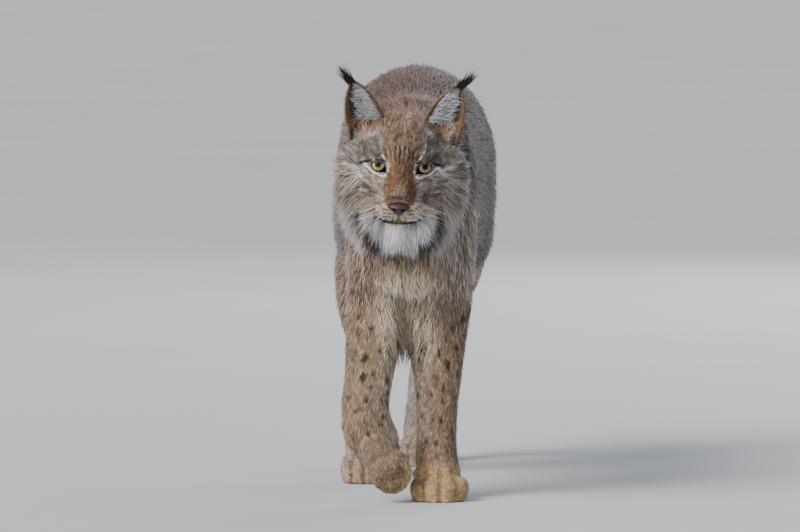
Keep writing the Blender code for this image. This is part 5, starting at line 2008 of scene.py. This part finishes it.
def grow_breast_fringe():
    """Soft hair that hangs from the breast into the gap between the forelegs."""
    x, y, z = SKIN_MIDDLES.T
    band = ramp(np.abs(x + 0.008), 0.040, 0.024) * ramp(z, 0.350, 0.320) * ramp(z, 0.235, 0.262)
    band *= ramp(y, 0.06, 0.03) * (1 - tri_head)
    roots, normals, _, tones = hanging(BREAST_DENSITY * band, 58)
    rng = np.random.default_rng(59)
    count = len(roots)
    ways = np.stack([-(roots[:, 0] + 0.008) * 8.0, np.full(count, -0.12), np.full(count, -1.0)], 1)
    ways = unit(ways + rng.normal(0, 0.12, (count, 3)) + normals * 0.12)
    lengths = rng.uniform(0.020, 0.046, count)
    ways, _ = clumped(roots, ways, lengths, rng, 0.35)
    # Painted shade: the locks are darker the lower they hang from, down between the forelegs, and
    # darker at their tips.
    shade = 0.60 + 0.40 * ramp(roots[:, 2], 0.255, 0.325)
    mid = tones * (rng.uniform(0.80, 1.25, count) * shade)[:, None]
    return strands(
        roots, facing(normals, 0.2), ways, lengths,
        *drawn(rng, count, (0.0009, 0.0016), (-0.05, 0.08), 0.07), mid * 0.85, mid, mid * 0.78,
    )


def ear_frame(side):
    turn = HEAD.to_3x3()
    return [
        np.array(turn @ Vector((side * v.x, v.y, v.z))) for v in (EAR_RISE, EAR_OUT, EAR_BACK)
    ]


def grow_ear_fluff(side, count):
    """Pale hair from the inner edge of the cup, sweeping up and outwards across it."""
    rise, out, back = ear_frame(side)
    rng = np.random.default_rng(61 if side > 0 else 62)
    up = rng.uniform(0.02, 0.76, count) ** 1.2
    across = -0.80 + 0.95 * rng.random(count) ** 1.5
    low = rng.random(count) < 0.38
    up[low] = rng.uniform(-0.04, 0.08, low.sum())
    across[low] = rng.uniform(-0.9, 0.60, low.sum())
    roots = np.array([ear_point(side, a, max(u, 0.0)) for a, u in zip(across, up)])
    roots = roots - back * 0.0012 + rise * np.minimum(up, 0)[:, None] * 0.10
    ways = out[None] * rng.uniform(0.45, 1.0, count)[:, None]
    ways = ways + rise[None] * rng.uniform(0.45, 1.20, count)[:, None]
    ways[low] += rise * rng.uniform(-1.3, 0.5, low.sum())[:, None]
    ways = unit(ways - back[None] * rng.uniform(0.25, 0.60, count)[:, None])
    lengths = (0.025 - 0.013 * np.maximum(up, 0)) * rng.uniform(0.5, 1.15, count)
    lengths[low] *= 0.75
    tone_now = EAR_FLUFF[None] * rng.uniform(0.45, 1.10, count)[:, None]
    normals = filled(-back, roots)
    return strands(
        roots, normals, ways, lengths,
        *drawn(rng, count, (0.0007, 0.0012), (0.05, 0.35), 0.10),
        tone_now * 0.60, tone_now, tone_now * 1.1,
    )


def grow_ear_brush(side, count):
    """The black brush on an ear's tip, narrow at its foot and open at its end."""
    rise, out, back = ear_frame(side)
    rng = np.random.default_rng(63 if side > 0 else 64)
    roots = np.array([ear_point(side, a, EAR_TOP) for a in rng.uniform(-1, 1, count)])
    roots = roots - rise * rng.uniform(0.0, 0.007, count)[:, None]
    lean = np.array(HEAD.to_3x3() @ Vector((side * 0.66, 0.02, 0.74)))
    ways = lean[None] + out[None] * rng.normal(0, 0.13, count)[:, None]
    ways = unit(ways + back[None] * rng.normal(0, 0.10, count)[:, None])
    lengths = TUFT_LENGTH * rng.uniform(0.35, 1.02, count)
    tone_now = filled(BLACK, roots) * rng.uniform(0.8, 1.5, count)[:, None]
    normals = filled(-back, roots)
    return strands(
        roots, normals, ways, lengths, rng.uniform(0.0008, 0.0013, count),
        rng.uniform(-0.06, 0.06, count), -side * rng.uniform(-0.04, 0.10, count),
        tone_now, tone_now, tone_now,
    )


def stacked(coats):
    return {key: np.concatenate([c[key] for c in coats]) for key in coats[0]}


pieces_from(grow_ruff(), "ruff_back", 4, LONG_FINISH, LOCKS_OF_A_PIECE)
pieces_from(grow_rows(), "ruff", 4, LONG_FINISH, LOCKS_OF_A_PIECE)
pieces_from(grow_beard(), "beard", 4, LONG_FINISH, LOCKS_OF_A_PIECE)
pieces_from(grow_breast_fringe(), "breast_fringe", 4, LONG_FINISH, LOCKS_OF_A_PIECE)
for grow, count, name in (
    (grow_ear_fluff, EAR_FLUFF_COUNT, "ear_fluff"), (grow_ear_brush, EAR_BRUSH_COUNT, "ear_brush"),
):
    pieces_from(stacked([grow(side, count) for side in SIDES.values()]), name, 4, LONG_FINISH)

# %% Whiskers
WHISKER_ROWS = (
    ((20, -69), (37, -63), 3, 0.052),
    ((17, -77), (41, -72), 4, 0.064),
    ((14, -82), (37, -81), 4, 0.058),
)
BROW_WHISKERS = ((28, 14), (33, 15), (38, 15), (43, 13))
WHISKER_TONE = tone(238, 236, 230)


def whisker_roots():
    """Root, way and length of every whisker of both sides, in three lists."""
    rng = np.random.default_rng(71)
    turn = HEAD.to_3x3()
    found = []
    for side in SIDES.values():
        for first, last, count, length in WHISKER_ROWS:
            for k in range(count):
                u, v = np.array(first) + (np.array(last) - np.array(first)) * k / (count - 1)
                hit, normal = face_hit(side, u, v)
                droop = rng.uniform(-0.55, 0.15)
                way = turn @ Vector((side, rng.uniform(-0.30, 0.10), droop)) + normal * 0.35
                found.append((hit, way.normalized(), length * rng.uniform(0.75, 1.1)))
        for u, v in BROW_WHISKERS:
            hit, normal = face_hit(side, u, v)
            way = turn @ Vector((side * rng.uniform(0.2, 0.6), -0.30, 1.0)) + normal * 0.4
            found.append((hit, way.normalized(), rng.uniform(0.028, 0.042)))
    return zip(*found)


def grow_whiskers():
    """Stiff hairs that sag a little, with the upper side as their normal."""
    roots, ways, lengths = (np.array(column) for column in whisker_roots())
    count = len(roots)
    pale = filled(WHISKER_TONE, roots)
    down = unit(np.cross(np.cross(ways, [0, 0, 1.0]), ways))
    return strands(
        roots, down, ways, lengths, np.full(count, 0.00040), np.full(count, 0.14),
        np.full(count, 0.02), pale * 0.8, pale, pale,
    )


tuft_piece("whiskers", grow_whiskers(), 4, LONG_FINISH)

# %% [markdown]
# ## Pads and claws
# The soles carry soft dark pads: one broad pad and four toe pads for each paw. A resting cat
# keeps its claws drawn in, so that only their points show between the toes' hair.

# %% Pads and claws
CLAW_LENGTH = 0.006
PAD_FLOOR = 0.0004


def paw_bottom(name):
    """Pads and claws of one paw, as two lists."""
    own = paw_frame(name)
    _, _, width, long = PAWS[name]
    pads = [ball((0, -0.022, 0.0050), (width * 0.21, 0.014, 0.0046), within=own, segments=24)]
    claws = []
    for (x, y, z), turn in toe_places(name):
        place = (x * 0.92, y + 0.003, 0.0048)
        pads.append(ball(place, (0.0070, 0.0092, 0.0042), within=own, segments=20))
        tip = own @ Vector((x * 1.02, y - 0.0175, 0.0066))
        aim = (own.to_3x3() @ Vector((x * 2.0, -0.78, -0.52))).normalized()
        bpy.ops.mesh.primitive_cone_add(
            vertices=16, radius1=0.0019, radius2=0.0002, depth=CLAW_LENGTH,
            location=tip - aim * CLAW_LENGTH * 0.5,
            rotation=aim.to_track_quat("Z", "Y").to_euler(),
        )
        claws.append(bpy.context.object)
    return pads, claws


every_pad, every_claw = [], []
for name in PAWS:
    pads, claws = paw_bottom(name)
    every_pad += pads
    every_claw += claws
for pieces, label, material in (
    (every_pad, "paw_pads", PAD_FINISH), (every_claw, "claws", CLAW_FINISH),
):
    made = joined(pieces, label)
    points = coords(made)
    points[:, 2] = np.maximum(points[:, 2], PAD_FLOOR)
    set_coords(made, points)
    made.data.shade_smooth()
    finished(made, label, material)

# %% Skin into the frame
finished(
    skin, "skin", SKIN_FINISH,
    [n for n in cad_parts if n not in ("nose", "eye_l", "eye_r")],
)

# %% [markdown]
# ## Eyeballs
# The ball's pole looks along the gaze, so that its rings are the rings of the iris. The colours
# run from a small round pupil through a pale yellow-green iris to a dark edge. A painted shadow
# of the upper lid darkens the top of each iris, and painted shade darkens the animal's left eye.

# %% Eyeballs
IRIS_RADIUS = 0.0099
PUPIL_RADIUS = 0.0037
GAZE_SHIFT = (0.0024, 0.0020)
IRIS_PALE = tone(184, 176, 126)
IRIS_DEEP = tone(98, 86, 50)
LID_PAINTED_SHADOW = 0.45
LEFT_EYE_PAINTED_SHADE = 0.72
BULGE = 0.05


EYE_FINISH = tinted(
    "wet_eye", Roughness=0.5, Specular_IOR_Level=0.1, Coat_Weight=0.08, Coat_Roughness=0.02,
    Coat_IOR=1.40,
)[0]
for name, side in SIDES.items():
    bpy.ops.mesh.primitive_uv_sphere_add(segments=96, ring_count=72, radius=EYE_RADIUS)
    eyeball = bpy.context.object
    gaze = SIGHT * EYE_RADIUS + FACE_X * side * GAZE_SHIFT[0] + FACE_UP * GAZE_SHIFT[1]
    turn = Vector((0, 0, 1)).rotation_difference(gaze.normalized()).to_matrix()
    local = coords(eyeball)
    away = np.linalg.norm(local[:, :2], axis=1)
    front = local[:, 2] > 0
    angle = np.arctan2(local[:, 1], local[:, 0])
    fibre = 0.5 + 0.5 * np.sin(angle * 23 + 3 * np.sin(angle * 5)) * np.sin(angle * 41 + 1.0)
    share = ramp(away, PUPIL_RADIUS, IRIS_RADIUS)
    ball_tone = mix(filled(IRIS_DEEP, local), IRIS_PALE, ramp(share, 0.05, 0.5))
    # Painted shadow of the upper lid over the top of the iris, and painted shade over the whole of
    # the animal's left eye.
    above = (local @ np.array(turn).T) @ np.array(FACE_UP)
    shade = (1 - LID_PAINTED_SHADOW * ramp(above, 0.001, 0.008)) * (LEFT_EYE_PAINTED_SHADE if side > 0 else 1.0)
    ball_tone = ball_tone * ((0.80 + 0.30 * fibre) * shade)[:, None]
    pupil = ramp(away, PUPIL_RADIUS + 0.0005, PUPIL_RADIUS - 0.0003)
    edge = np.maximum(ramp(away, IRIS_RADIUS - 0.0012, IRIS_RADIUS), ~front)
    ball_tone = mix(mix(ball_tone, BLACK * 0.25, pupil), BLACK, edge)
    paint(eyeball, ball_tone)
    bulge = 1 + BULGE * ramp(away, IRIS_RADIUS, 0.0) * front
    set_coords(eyeball, (local * bulge[:, None]) @ np.array(turn).T + np.array(eye_centre(side)))
    eyeball.data.shade_smooth()
    finished(eyeball, "eyeball_" + name, EYE_FINISH, ["eye_" + name])

# %% [markdown]
# ## Lid rims, lips and nose
# The rims of the lids, the lips and the nose are bare, dark and a little wet. The nose pad is
# two balls fused, with comma-shaped nostrils cut in and a groove down its middle.

# %% Lid rims
rims = joined(lid_rims, "lid_rims")
rims.data.shade_smooth()
finished(rims, "lid_rims", LIP_FINISH)

# %% Nose pad
NOSE_CENTRE = Vector((0.0, -0.0758, -0.0400))
NOSE_RADII = (0.0172, 0.0108, 0.0070)
NOSE_VOXEL = 0.0007


def nose_ball(offset, radii, turn=(0, 0, 0)):
    return ball(NOSE_CENTRE + Vector(offset), radii, turn, HEAD)


def nose_pad():
    """Two balls fused, less a hole and a slit on each side and a groove in the middle."""
    x, y, z = NOSE_RADII
    low = (x * 0.55, y * 0.94, z * 0.95)
    pad = blended(
        [nose_ball((0, 0, 0), NOSE_RADII), nose_ball((0, 0.0004, -0.0060), low)],
        "nose_pad", NOSE_VOXEL, 8,
    )
    cutters = []
    for s in SIDES.values():
        cutters += [
            nose_ball((s * 0.0078, -0.0092, -0.0026), (0.0042, 0.0075, 0.0032), (0, s * 25, s * 20)),
            nose_ball((s * 0.0130, -0.0052, -0.0022), (0.0060, 0.0062, 0.0014), (0, s * -12, s * 40)),
        ]
    cutters.append(nose_ball((0, -0.0122, -0.0090), (0.0006, 0.0030, 0.0065)))
    for cutter in cutters:
        combine(pad, placed(cutter), "DIFFERENCE")
    return pad


nose = nose_pad()
nose.data.shade_smooth()
finished(nose, "nose_pad", NOSE_FINISH, ["nose"])

# %% Lips
LIP_RADIUS = 0.0013
LIP_STEPS = 24
CORNER_STEP = 16.5
lip_pieces = []
for s in SIDES.values():
    places = face_line(LIP_LINE, s)
    steps = range(LIP_STEPS + 1)
    path = [catmull(places, (len(places) - 1) * k / LIP_STEPS) for k in steps]
    taper = [0.45 + 1.1 * math.exp(-((k - CORNER_STEP) / 4.2) ** 2) for k in steps]
    lip_pieces.append(tube("lip", path, LIP_RADIUS, taper=taper))
lips = joined(lip_pieces, "lips")
lips.data.shade_smooth()
finished(lips, "lips", LIP_FINISH)

# %% [markdown]
# ## Coat totals
# The renderer keeps every triangle in memory, so the count is printed.

# %% Totals and the end
for name, count, faces in COAT_PIECES:
    print("%-16s %6d tufts %7d triangles" % (name, count, faces))
print("coat triangles:", sum(f for _, _, f in COAT_PIECES))
